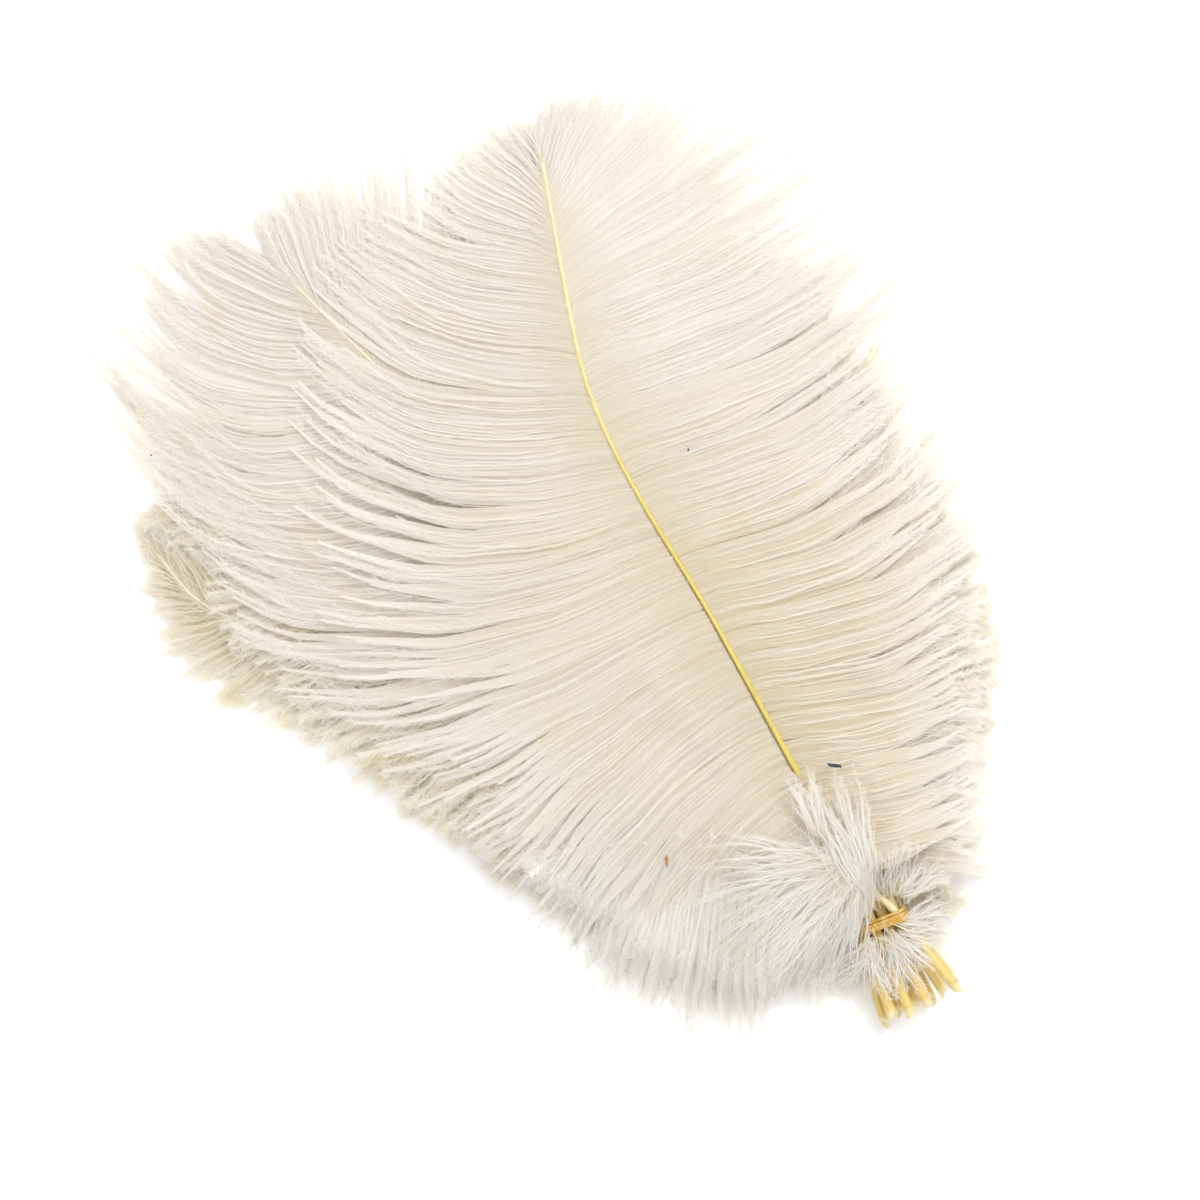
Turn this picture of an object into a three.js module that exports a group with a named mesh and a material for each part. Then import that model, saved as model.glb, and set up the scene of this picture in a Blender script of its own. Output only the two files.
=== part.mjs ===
// A tied bunch of ten white ostrich plumes, lying flat.
// Units are millimetres, +Z is up, and +Y runs from the cut quills towards the plume tips.
// Each plume is one closed solid: a round quill that thins into the shaft, with a thin vane on both
// sides that reaches the tips of its barbs. The plumes are stacked, and a thread ties their quills.
import * as THREE from "three";

// ---- Driving dimensions -------------------------------------------------------------------------
const SHAFT_TIP_DIAMETER = 0.9;
const SHAFT_TAPER = 1.25; // power of the taper from quill to tip
const ROW_HEIGHT = { lower: 3.8, upper: 7.8, crown: 12.3 }; // quill centres at the tie
const ROW_HEIGHT_AT_CUT = { lower: 3.6, upper: 8.3, crown: 13.0 }; // quill centres at their cut ends
const RISE_START = 10; // distance from the tie where the shafts leave the bundle
const RISE_END = 78; // distance from the tie where each shaft lies in its own layer
const LAYER_EDGE = 1.45; // room that a plume takes away from its own shaft
const LAYER_CLEARANCE = 0.8; // room over and under a shaft, together
const LAYER_PUFF = 2.4; // extra room half way along the vane
const LAYER_SPREAD = 58; // how far that room reaches sideways
const VANE_SHARE = 0.5; // vane thickness as a share of its layer
const VANE_THINNEST = 0.65;
const VANE_THICKEST = 2.8;
const VANE_AT_TIE = 1.0;
const TIE_WIDTH = 5;
const TIE_THICKNESS = 1.1;
const TIE_GAP = 0.4;

const COLLAR_LENGTH = 1.5; // bare collar between the round quill and the first barbs
const COLLAR_GAP = 4.5; // where the quill begins to flatten into the collar

const VANE_RINGS = 11;
const ARM_POINTS = 5; // points along a barb, from the shaft to its tip
const CURVE_SAMPLES = 360;
const BARB_STEPS = 20;

const KERATIN = { color: 0xdcc98a, roughness: 0.55, metalness: 0 };
const THREAD = { color: 0xc8963a, roughness: 0.85, metalness: 0 };

// ---- The ten plumes, lowest first ---------------------------------------------------------------
// quill: its diameter at the tie. shaft: plan points from the cut end, through the tie, to the tip.
// vane: where it begins, measured along the shaft from the tie.
// Each side gives, at even stations from the vane's start to the shaft's tip, the angle that a barb
// leaves the shaft at, how far it curls forwards along its length (degrees), and its reach (mm).
const PLUMES = [
  {
    name: "plume_centre", row: "lower", quill: 3.6, vane: 15, grounded: true,
    shaft: [[0, -34], [0, 0], [-2.5, 14], [-18, 45], [-45, 110], [-72, 180], [-88, 225]],
    left: { angle: [108, 96, 84, 70, 14], curl: [-16, 0, 18, 18, 4], reach: [46, 78, 84, 72, 16] },
    right: { angle: [124, 104, 84, 70, 14], curl: [-10, 8, 20, 18, 4], reach: [46, 84, 92, 76, 16] },
  },
  {
    name: "plume_low_right", row: "lower", quill: 3.2, vane: 62,
    shaft: [[17, -31], [9.6, 0], [12.5, 14], [24, 36], [40, 70], [48, 108], [46, 140]],
    left: { angle: [104, 92, 78, 62, 14], curl: [-6, 10, 22, 20, 4], reach: [44, 50, 48, 36, 14] },
    right: { angle: [108, 98, 86, 70, 14], curl: [0, 16, 26, 22, 4], reach: [30, 38, 40, 34, 14] },
  },
  {
    name: "plume_lower_left", row: "lower", quill: 3.4, vane: 62,
    shaft: [[-13, -36], [-9.6, 0], [-15, 14], [-38, 36], [-80, 70], [-118, 108], [-136, 132]],
    left: { angle: [104, 88, 76, 60, 14], curl: [-12, 2, 8, 14, 4], reach: [30, 34, 34, 30, 12] },
    right: { angle: [108, 96, 84, 66, 14], curl: [-6, 12, 24, 22, 4], reach: [46, 60, 60, 44, 12] },
  },
  {
    name: "plume_upper_right", row: "lower", quill: 3.8, vane: 66,
    shaft: [[6.5, -35], [4.8, 0], [6, 14], [12, 50], [24, 140], [26, 200], [20, 248]],
    left: { angle: [108, 92, 78, 62, 14], curl: [-8, 10, 22, 20, 4], reach: [54, 70, 66, 52, 16] },
    right: { angle: [110, 100, 86, 70, 14], curl: [-2, 16, 26, 22, 4], reach: [48, 62, 66, 54, 16] },
  },
  {
    name: "plume_far_left", row: "lower", quill: 3.8, vane: 66,
    shaft: [
      [-6.5, -34], [-4.8, 0], [-8, 14], [-30, 40], [-85, 104], [-140, 168], [-181, 206], [-192.2, 234.9],
    ],
    left: { angle: [96, 76, 64, 56, 14], curl: [-8, 4, 8, 12, 4], reach: [34, 42, 42, 36, 8] },
    right: { angle: [104, 88, 80, 66, 14], curl: [-10, 12, 24, 22, 4], reach: [50, 66, 70, 52, 8] },
  },
  {
    name: "plume_right", row: "upper", quill: 3.6, vane: 66,
    shaft: [[11.5, -33], [7.2, 0], [9, 14], [20, 44], [38, 100], [46, 150], [44, 196]],
    left: { angle: [106, 92, 78, 62, 14], curl: [-6, 10, 22, 20, 4], reach: [48, 60, 57, 44, 16] },
    right: { angle: [110, 100, 86, 70, 14], curl: [0, 16, 26, 22, 4], reach: [38, 46, 50, 42, 16] },
  },
  {
    name: "plume_left", row: "upper", quill: 4.0, vane: 66,
    shaft: [
      [-9.5, -33], [-7.2, 0], [-10, 14], [-30, 43], [-86, 122], [-135, 190], [-151, 221], [-170.3, 234.2],
    ],
    left: { angle: [100, 84, 72, 60, 14], curl: [-8, 6, 8, 14, 4], reach: [46, 56, 54, 44, 18] },
    right: { angle: [110, 92, 84, 66, 14], curl: [-10, 12, 24, 22, 4], reach: [60, 82, 84, 66, 18] },
  },
  {
    name: "plume_upper_left", row: "upper", quill: 4.0, vane: 66,
    shaft: [[-3, -35], [-2.4, 0], [-4.6, 14], [-17, 48], [-48, 140], [-80, 240], [-104.7, 305.7]],
    left: { angle: [100, 92, 80, 66, 20], curl: [-12, 6, 10, 12, 4], reach: [64, 90, 104, 114, 32] },
    right: { angle: [110, 96, 84, 66, 14], curl: [-10, 12, 24, 22, 4], reach: [60, 92, 100, 88, 22] },
  },
  {
    name: "plume_top", row: "upper", quill: 4.0, vane: 62,
    shaft: [
      [4.2, -34], [2.4, 0], [1, 18], [-5.8, 60.7], [-9.4, 98.6], [-13.1, 136.5], [-18.6, 179.3],
      [-20.4, 212.3], [-17, 243.2], [-0.7, 312.8],
    ],
    left: {
      angle: [95, 92, 93, 78, 78, 80, 22],
      curl: [-34, -30, 45, 66, 46, 26, 4],
      reach: [60, 78, 104, 112, 92, 50, 12],
    },
    right: {
      angle: [115, 122, 118, 116, 104, 80, 16],
      curl: [-2, 34, 46, 42, 28, 16, -6],
      reach: [60, 84, 98, 108, 108, 84, 14],
    },
  },
  {
    name: "plume_short", row: "crown", quill: 3.2, vane: 27,
    shaft: [[16, -33], [7.4, 0], [3.2, 10], [-4, 20], [-19, 39], [-42.4, 53.6], [-68, 64], [-97.6, 72.4]],
    left: { angle: [112, 106, 98, 80, 16], curl: [-6, -16, -6, 6, 4], reach: [38, 58, 66, 52, 14] },
    right: { angle: [80, 80, 74, 64, 16], curl: [3, 16, 20, 16, 6], reach: [24, 34, 36, 30, 12] },
  },
];

// ---- Small helpers ------------------------------------------------------------------------------
const mix = (a, b, t) => a + (b - a) * t;
const clamp = THREE.MathUtils.clamp;
const radians = THREE.MathUtils.degToRad;
const smooth = (low, high, x) => THREE.MathUtils.smoothstep(x, low, high);

// The value of a list of even stations at t in 0..1.
function station(values, t) {
  const place = clamp(t, 0, 1) * (values.length - 1);
  const index = Math.min(Math.floor(place), values.length - 2);
  return mix(values[index], values[index + 1], place - index);
}

// ---- Shafts in plan -----------------------------------------------------------------------------
// A plume's shaft as a smooth plan curve, with the distance of the tie and of the tip along it.
function planShaft(plume) {
  const points = plume.shaft.map(([x, y]) => new THREE.Vector3(x, y, 0));
  const curve = new THREE.CatmullRomCurve3(points, false, "catmullrom", 0.5);
  curve.arcLengthDivisions = CURVE_SAMPLES;
  const length = curve.getLength();
  const tie = points[1];
  let toTie = 0;
  let nearest = Infinity;
  for (let i = 0; i <= CURVE_SAMPLES; i++) {
    const away = curve.getPointAt(i / CURVE_SAMPLES).distanceTo(tie);
    if (away < nearest) {
      nearest = away;
      toTie = (i / CURVE_SAMPLES) * length;
    }
  }
  return { curve, length, toTie, quill: plume.quill };
}

// Shaft diameter at a distance along the shaft.
function shaftDiameter(shaft, distance) {
  const left = clamp((shaft.length - distance) / (shaft.length - shaft.toTie), 0, 1);
  return mix(SHAFT_TIP_DIAMETER, shaft.quill, Math.pow(left, SHAFT_TAPER));
}

const shafts = PLUMES.map(planShaft);

// ---- Layers -------------------------------------------------------------------------------------
// The room that plume number k takes over the plan point (x, y): thick along its shaft, thin elsewhere.
function layerRoom(k, x, y) {
  const [tipX, tipY] = PLUMES[k].shaft.at(-1);
  const [tieX, tieY] = PLUMES[k].shaft[1];
  const chord = Math.hypot(tipX - tieX, tipY - tieY);
  const alongX = (tipX - tieX) / chord;
  const alongY = (tipY - tieY) / chord;
  const along = (x - tieX) * alongX + (y - tieY) * alongY;
  const across = (y - tieY) * alongX - (x - tieX) * alongY;
  const reached = clamp(along, RISE_END, chord);
  const shaft = shafts[k];
  const diameter = shaftDiameter(shaft, shaft.toTie + (reached / chord) * (shaft.length - shaft.toTie));
  const puff = LAYER_PUFF * smooth(RISE_END, chord / 2, reached) * (1 - smooth(chord / 2, chord, reached));
  const room = diameter + LAYER_CLEARANCE + puff - LAYER_EDGE;
  const past = Math.max(0, along - chord);
  return LAYER_EDGE + room * Math.exp(-(across * across + past * past) / (LAYER_SPREAD * LAYER_SPREAD));
}

// The underside of plume number k's layer over the plan point (x, y).
function layerFloor(k, x, y) {
  let height = 0;
  for (let below = 0; below < k; below++) height += layerRoom(below, x, y);
  return height;
}

// How far a plan point has left the tied bundle for the layers, 0 to 1.
const risen = (x, y) => smooth(RISE_START, RISE_END, Math.hypot(x, y));

// Height of plume number k's shaft centre.
function shaftHeight(k, x, y) {
  const { row } = PLUMES[k];
  const cut = smooth(0, -34, y);
  const held = mix(ROW_HEIGHT[row], ROW_HEIGHT_AT_CUT[row], cut);
  return mix(held, layerFloor(k, x, y) + layerRoom(k, x, y) / 2, risen(x, y));
}

// Low and high face of plume number k's vane.
function vaneFaces(k, x, y) {
  const away = risen(x, y);
  const inLayer = clamp(layerRoom(k, x, y) * VANE_SHARE, VANE_THINNEST, VANE_THICKEST);
  const thickness = mix(VANE_AT_TIE, inLayer, away);
  if (PLUMES[k].grounded) return [0, thickness];
  const centre = shaftHeight(k, x, y);
  return [centre - thickness / 2, centre + thickness / 2];
}

// ---- One plume ----------------------------------------------------------------------------------
// Plan points of a barb that leaves the shaft at vane station t; side is 1 on the left, -1 on the right.
function barb(plume, shaft, t, side) {
  const { angle, curl, reach } = side > 0 ? plume.left : plume.right;
  const distance = mix(shaft.toTie + plume.vane, shaft.length, t);
  const root = shaft.curve.getPointAt(distance / shaft.length);
  const tangent = shaft.curve.getTangentAt(distance / shaft.length);
  const heading = Math.atan2(tangent.y, tangent.x);
  const step = station(reach, t) / BARB_STEPS;
  const points = [root];
  for (let i = 0; i < BARB_STEPS; i++) {
    const bend = Math.pow((i + 0.5) / BARB_STEPS, 1.3);
    const turn = heading + side * radians(station(angle, t) - station(curl, t) * bend);
    const last = points.at(-1);
    points.push(new THREE.Vector3(last.x + step * Math.cos(turn), last.y + step * Math.sin(turn), 0));
  }
  return points;
}

// A ring of the round quill: matching upper and lower points from the left edge to the right.
function quillRing(k, distance) {
  const shaft = shafts[k];
  const centre = shaft.curve.getPointAt(distance / shaft.length);
  const tangent = shaft.curve.getTangentAt(distance / shaft.length);
  const radius = shaftDiameter(shaft, distance) / 2;
  const height = shaftHeight(k, centre.x, centre.y);
  const columns = 2 * ARM_POINTS + 3;
  const upper = [];
  const lower = [];
  for (let i = 0; i < columns; i++) {
    const angle = radians(mix(172, 8, i / (columns - 1)));
    const aside = radius * Math.cos(angle);
    const x = centre.x + aside * tangent.y;
    const y = centre.y - aside * tangent.x;
    upper.push([x, y, height + radius * Math.sin(angle)]);
    lower.push([x, y, height - radius * Math.sin(angle)]);
  }
  return { upper, lower };
}

// A ring across the vane: out along the left barb, over the shaft, out along the right barb. A collar
// ring has only a short spoke on each side, which leans back as far as the barb does anywhere.
function vaneRing(k, t, collar = false) {
  const plume = PLUMES[k];
  const shaft = shafts[k];
  const distance = mix(shaft.toTie + plume.vane, shaft.length, t);
  const radius = shaftDiameter(shaft, distance) / 2;
  const tangent = shaft.curve.getTangentAt(distance / shaft.length);
  const upper = [];
  const lower = [];
  const add = (x, y, low, high) => {
    upper.push([x, y, high]);
    lower.push([x, y, low]);
  };
  const arms = [1, -1].map((side) => {
    const points = barb(plume, shaft, t, side);
    const length = station(side > 0 ? plume.left.reach : plume.right.reach, t);
    const root = clamp(radius / length, 0, 0.5);
    const spokes = points.slice(1).map((point) => point.clone().sub(points[0]).normalize());
    const back = spokes.reduce((a, b) => (a.dot(tangent) < b.dot(tangent) ? a : b));
    return Array.from({ length: ARM_POINTS + 1 }, (_, i) => {
      if (collar) return points[0].clone().addScaledVector(back, radius * (1 + i / ARM_POINTS));
      const place = mix(root, 1, i / ARM_POINTS);
      const index = Math.min(Math.floor(place * BARB_STEPS), BARB_STEPS - 1);
      return points[index].clone().lerp(points[index + 1], place * BARB_STEPS - index);
    });
  });
  const centre = shaft.curve.getPointAt(distance / shaft.length);
  const height = shaftHeight(k, centre.x, centre.y);
  for (const point of arms[0].toReversed()) add(point.x, point.y, ...vaneFaces(k, point.x, point.y));
  add(centre.x, centre.y, height - radius, height + radius);
  for (const point of arms[1]) add(point.x, point.y, ...vaneFaces(k, point.x, point.y));
  if (plume.grounded) lower.forEach((point) => (point[2] = 0));
  return { upper, lower };
}

// The closed skin over a list of rings.
function skin(rings) {
  const columns = rings[0].upper.length;
  const position = [];
  const index = [];
  for (const ring of rings) for (const point of [...ring.upper, ...ring.lower]) position.push(...point);
  const up = (ring, column) => ring * 2 * columns + column;
  const down = (ring, column) => up(ring, column) + columns;
  const quad = (a, b, c, d) => index.push(a, b, c, a, c, d);
  for (let ring = 0; ring < rings.length - 1; ring++) {
    for (let column = 0; column < columns - 1; column++) {
      quad(up(ring, column), up(ring, column + 1), up(ring + 1, column + 1), up(ring + 1, column));
      quad(down(ring, column), down(ring + 1, column), down(ring + 1, column + 1), down(ring, column + 1));
    }
    const edge = columns - 1;
    quad(up(ring, 0), up(ring + 1, 0), down(ring + 1, 0), down(ring, 0));
    quad(up(ring, edge), down(ring, edge), down(ring + 1, edge), up(ring + 1, edge));
  }
  const last = rings.length - 1;
  for (let column = 0; column < columns - 1; column++) {
    quad(up(0, column), down(0, column), down(0, column + 1), up(0, column + 1));
    quad(up(last, column), up(last, column + 1), down(last, column + 1), down(last, column));
  }
  const geometry = new THREE.BufferGeometry();
  geometry.setAttribute("position", new THREE.Float32BufferAttribute(position, 3));
  geometry.setIndex(index);
  geometry.computeVertexNormals();
  return geometry;
}

function plumeMesh(k) {
  const plume = PLUMES[k];
  const shaft = shafts[k];
  const rings = [];
  const aboveTie = shaft.toTie + TIE_WIDTH;
  const quillEnd = shaft.toTie + plume.vane - COLLAR_GAP - COLLAR_LENGTH;
  const quillPlaces = [0, shaft.toTie - TIE_WIDTH, aboveTie, mix(aboveTie, quillEnd, 0.5), quillEnd];
  for (const distance of quillPlaces) rings.push(quillRing(k, distance));
  rings.push(vaneRing(k, -COLLAR_LENGTH / (shaft.length - shaft.toTie - plume.vane), true));
  for (let i = 0; i <= VANE_RINGS; i++) rings.push(vaneRing(k, i / VANE_RINGS));
  const mesh = new THREE.Mesh(skin(rings), new THREE.MeshStandardMaterial(KERATIN));
  mesh.name = plume.name;
  return mesh;
}

// ---- The thread tie -----------------------------------------------------------------------------
// The convex outline, counter-clockwise, round a set of plan points.
function convexOutline(points) {
  const sorted = [...points].sort((a, b) => a.x - b.x || a.y - b.y);
  const half = (list) => {
    const chain = [];
    for (const p of list) {
      const turns = () => chain.at(-1).clone().sub(chain.at(-2)).cross(p.clone().sub(chain.at(-1)));
      while (chain.length > 1 && turns() <= 1e-6) chain.pop();
      chain.push(p);
    }
    return chain.slice(0, -1);
  };
  return [...half(sorted), ...half(sorted.toReversed())];
}

// The outline of the quill bundle at the tie, grown by a margin; x is across and y is up.
function bundleOutline(margin) {
  const around = [];
  const sides = 20;
  shafts.forEach((shaft, k) => {
    for (const end of [-TIE_WIDTH, TIE_WIDTH]) {
      const distance = shaft.toTie + end / 2;
      const centre = shaft.curve.getPointAt(distance / shaft.length);
      const height = shaftHeight(k, centre.x, centre.y);
      const radius = shaftDiameter(shaft, distance) / 2 + margin;
      for (let i = 0; i < sides; i++) {
        const turn = (i / sides) * 2 * Math.PI;
        const spoke = new THREE.Vector2(radius, 0).rotateAround(new THREE.Vector2(), turn);
        around.push(spoke.add(new THREE.Vector2(centre.x, height)));
      }
    }
  });
  return convexOutline(around);
}

function tieMesh() {
  const ring = new THREE.Shape(bundleOutline(TIE_GAP + TIE_THICKNESS));
  ring.holes.push(new THREE.Path(bundleOutline(TIE_GAP)));
  const geometry = new THREE.ExtrudeGeometry(ring, { depth: TIE_WIDTH, bevelEnabled: false });
  geometry.rotateX(Math.PI / 2);
  geometry.translate(0, TIE_WIDTH / 2, 0);
  const mesh = new THREE.Mesh(geometry, new THREE.MeshStandardMaterial(THREAD));
  mesh.name = "thread_tie";
  return mesh;
}

// ---- The bunch, with its origin under the middle of its box ---------------------------------------
const bunch = new THREE.Group();
PLUMES.forEach((_, k) => bunch.add(plumeMesh(k)));
bunch.add(tieMesh());
const box = new THREE.Box3().setFromObject(bunch);
bunch.position.set(-(box.min.x + box.max.x) / 2, -(box.min.y + box.max.y) / 2, -box.min.z);

export default bunch;
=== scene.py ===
import logging
import math
from dataclasses import dataclass, field
from enum import Enum

import bpy
import numpy as np
from mathutils import Matrix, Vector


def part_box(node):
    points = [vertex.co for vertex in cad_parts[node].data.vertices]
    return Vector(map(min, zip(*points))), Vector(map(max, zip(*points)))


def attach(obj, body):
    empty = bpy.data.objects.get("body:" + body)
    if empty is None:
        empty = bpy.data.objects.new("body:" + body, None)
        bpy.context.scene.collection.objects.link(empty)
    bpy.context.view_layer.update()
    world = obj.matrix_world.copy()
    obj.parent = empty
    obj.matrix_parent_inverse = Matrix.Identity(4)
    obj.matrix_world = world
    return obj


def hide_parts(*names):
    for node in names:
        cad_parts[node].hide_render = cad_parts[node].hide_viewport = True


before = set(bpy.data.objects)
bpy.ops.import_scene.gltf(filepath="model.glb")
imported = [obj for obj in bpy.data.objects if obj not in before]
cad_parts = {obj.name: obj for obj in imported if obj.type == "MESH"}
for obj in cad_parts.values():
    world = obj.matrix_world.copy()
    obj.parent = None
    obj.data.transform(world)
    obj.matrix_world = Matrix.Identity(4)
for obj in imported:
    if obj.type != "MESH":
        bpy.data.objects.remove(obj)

log = logging.getLogger("ostrich_plumes")

Array = np.ndarray
Span = tuple[float, ...]

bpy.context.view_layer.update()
BODY = "root"
BAKE_MAP = "OFBake"
METRE = 0.001  # one millimetre, in metres
SEED = 20

# The plan of the bunch is drawn in millimetres about the tie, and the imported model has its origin
# under the middle of its box. The tie's node gives the place of the one in the other.
TIE_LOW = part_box("thread_tie")[0]
TIE_WEST = -12.941  # the tie's left edge in the plan
TIE_SOUTH = -2.5
PLAN_SHIFT = (TIE_LOW.x / METRE - TIE_WEST, TIE_LOW.y / METRE - TIE_SOUTH)

SHAFT_TIP_DIAMETER = 0.9
SHAFT_TAPER = 1.25  # power of the taper from quill to tip
RISE_START = 10.0  # where a shaft leaves its row in the bundle, from the tie
RISE_END = 78.0  # where it has come to its own layer
LAYER_EDGE = 1.45  # room that a plume takes at the rim of its vane
LAYER_CLEARANCE = 0.8
LAYER_PUFF = 2.4
LAYER_SPREAD = 58.0  # how wide the room over a shaft is
CUT_Y = -34.0  # where the quills are cut
FLOOR_GAP = 0.15  # lowest that a strand may lie
BARB_STEPS = 20
BARB_BEND = 1.3
HOOK_ANGLE = 24.0  # how much a barb leans forward at its root, before it swings out
HOOK_LENGTH = 7.0


def mix(a: Array | float, b: Array | float, t: Array | float) -> Array | float:
    """The value a share t of the way from a to b."""
    return a + (b - a) * t


def smooth(low: float, high: float, x: Array | float) -> Array | float:
    """A smooth step from 0 at low to 1 at high."""
    t = np.clip((np.asarray(x, float) - low) / (high - low), 0, 1)
    return t * t * (3 - 2 * t)


def station(values: Span, t: Array | float) -> Array:
    """The value of a list of even stations at t in 0..1."""
    return np.interp(np.clip(t, 0, 1), np.linspace(0, 1, len(values)), values)


def unit(v: Array) -> Array:
    """Vectors scaled to length one along the last axis."""
    return v / np.maximum(np.linalg.norm(v, axis=-1, keepdims=True), 1e-9)


def beside(ahead: Array, pole: Span = (0.0, 0.0, 1.0)) -> tuple[Array, Array]:
    """The sideways and the upward direction of unit directions, about a pole."""
    aside = unit(np.cross(ahead, pole) + (1e-9, 0, 0))
    return aside, np.cross(aside, ahead)


def run(path: Array) -> Array:
    """How far along its path each point lies."""
    steps = np.linalg.norm(np.diff(path, axis=-2), axis=-1)
    return np.concatenate([np.zeros((*steps.shape[:-1], 1)), np.cumsum(steps, -1)], -1)


def starts(sizes: Array) -> Array:
    """Where each of several groups of those sizes begins."""
    return np.cumsum(sizes) - sizes


def fan(first: int, sides: int) -> Array:
    """Triangles that close a ring of points, from the number of its first point."""
    k = np.arange(1, sides - 1)
    return np.stack([np.full(sides - 2, first), first + k, first + k + 1], 1)


def placed(name: str, data: bpy.types.ID) -> bpy.types.Object:
    """A new object with its data, linked to the scene."""
    made = bpy.data.objects.new(name, data)
    bpy.context.scene.collection.objects.link(made)
    return made


def ripple(rng: np.random.Generator, x: Array, knots: int) -> Array:
    """Smooth noise of about -1 to 1 over x in 0..1, with the given number of knots."""
    values = rng.uniform(-1, 1, knots + 2)
    place = np.clip(x, 0, 1) * knots
    low = np.minimum(place.astype(int), knots)
    part = place - low
    part = part * part * (3 - 2 * part)
    return mix(values[low], values[low + 1], part)


# ---- Shader expressions ---------------------------------------------------------------------------


class Shade:
    """A value or colour socket in a material, written as a Python expression."""

    def __init__(self, tree: "Recipe", socket: bpy.types.NodeSocket) -> None:
        """Wraps an output socket of a node in the tree."""
        self.tree = tree
        self.socket = socket

    def _math(self, operation: str, first: object, second: object = 0.0) -> "Shade":
        """A Math node with two inputs."""
        return self.tree.node("ShaderNodeMath", {"operation": operation}, {0: first, 1: second})

    def __add__(self, other: object) -> "Shade":
        """The sum."""
        return self._math("ADD", self, other)

    __radd__ = __add__

    def __sub__(self, other: object) -> "Shade":
        """The difference."""
        return self._math("SUBTRACT", self, other)

    def __rsub__(self, other: object) -> "Shade":
        """The difference, from a number."""
        return self._math("SUBTRACT", other, self)

    def __mul__(self, other: object) -> "Shade":
        """The product."""
        return self._math("MULTIPLY", self, other)

    __rmul__ = __mul__

    def size(self) -> "Shade":
        """The value without its sign."""
        return self._math("ABSOLUTE", self)

    def clamped(self) -> "Shade":
        """The value held between 0 and 1."""
        settings = {"operation": "ADD", "use_clamp": True}
        return self.tree.node("ShaderNodeMath", settings, {0: self, 1: 0.0})

    def band(self, low: float, high: float) -> "Shade":
        """A smooth step of the value from 0 at low to 1 at high."""
        settings = {"interpolation_type": "SMOOTHSTEP"}
        return self.tree.node(
            "ShaderNodeMapRange", settings, {"Value": self, "From Min": low, "From Max": high}
        )


class Recipe:
    """A material under construction."""

    def __init__(self, name: str) -> None:
        """Starts an empty material of that name."""
        self.material = bpy.data.materials.new(name)
        self.material.use_nodes = True
        self.nodes = self.material.node_tree.nodes
        self.links = self.material.node_tree.links
        self.nodes.clear()

    def node(self, kind: str, settings: dict[str, object], inputs: dict, output: int | str = 0) -> Shade:
        """Adds a node.

        Args:
            kind: the node's type.
            settings: its properties, set before its sockets.
            inputs: a value or a Shade for each named or numbered input.
            output: which output is wanted.

        Returns:
            The output as a Shade.
        """
        made = self.nodes.new(kind)
        for key, value in settings.items():
            setattr(made, key, value)
        for key, value in inputs.items():
            if isinstance(value, Shade):
                self.links.new(value.socket, made.inputs[key])
            else:
                made.inputs[key].default_value = value
        return Shade(self, made.outputs[output])

    def attribute(self, name: str) -> tuple[Shade, Shade, Shade]:
        """The three channels of a colour attribute."""
        found = self.node("ShaderNodeAttribute", {"attribute_name": name}, {}, "Color")
        split = self.nodes.new("ShaderNodeSeparateColor")
        self.links.new(found.socket, split.inputs[0])
        return tuple(Shade(self, split.outputs[i]) for i in range(3))

    def place(self) -> Shade:
        """Object coordinates, in metres."""
        return self.node("ShaderNodeTexCoord", {}, {}, "Object")

    def stretched(self, scale: Span) -> Shade:
        """Object coordinates scaled along each axis."""
        inputs = {"Vector": self.place(), "Scale": scale}
        return self.node("ShaderNodeMapping", {"vector_type": "POINT"}, inputs)

    def noise(self, scale: float, detail: float = 2.0, over: Shade | None = None) -> Shade:
        """Fractal noise of 0 to 1."""
        inputs = {"Vector": over or self.place(), "Scale": scale, "Detail": detail}
        return self.node("ShaderNodeTexNoise", {"noise_dimensions": "3D"}, inputs, 0)

    def joined(self, x: Shade, y: Shade, z: Shade) -> Shade:
        """Three values as a vector."""
        return self.node("ShaderNodeCombineXYZ", {}, {0: x, 1: y, 2: z})

    def blend(self, share: Shade | float, low: object, high: object, how: str = "MIX") -> Shade:
        """A mix of two colours."""
        settings = {"data_type": "RGBA", "blend_type": how, "clamp_factor": True}
        return self.node("ShaderNodeMix", settings, {0: share, 6: low, 7: high}, 2)

    def bump(self, height: Shade, distance: float, strength: float) -> Shade:
        """A bumped normal."""
        inputs = {"Height": height, "Distance": distance, "Strength": strength}
        return self.node("ShaderNodeBump", {}, inputs)

    def surface(self, shader: Shade) -> bpy.types.Material:
        """Ends the material with its surface shader."""
        out = self.nodes.new("ShaderNodeOutputMaterial")
        self.links.new(shader.socket, out.inputs["Surface"])
        return self.material


Colour = tuple[float, float, float, float]


def srgb(red: float, green: float, blue: float) -> Colour:
    """A linear colour from 0..255 screen values."""
    parts = [c / 255 for c in (red, green, blue)]
    return (*[p / 12.92 if p <= 0.04045 else ((p + 0.055) / 1.055) ** 2.4 for p in parts], 1.0)


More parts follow.
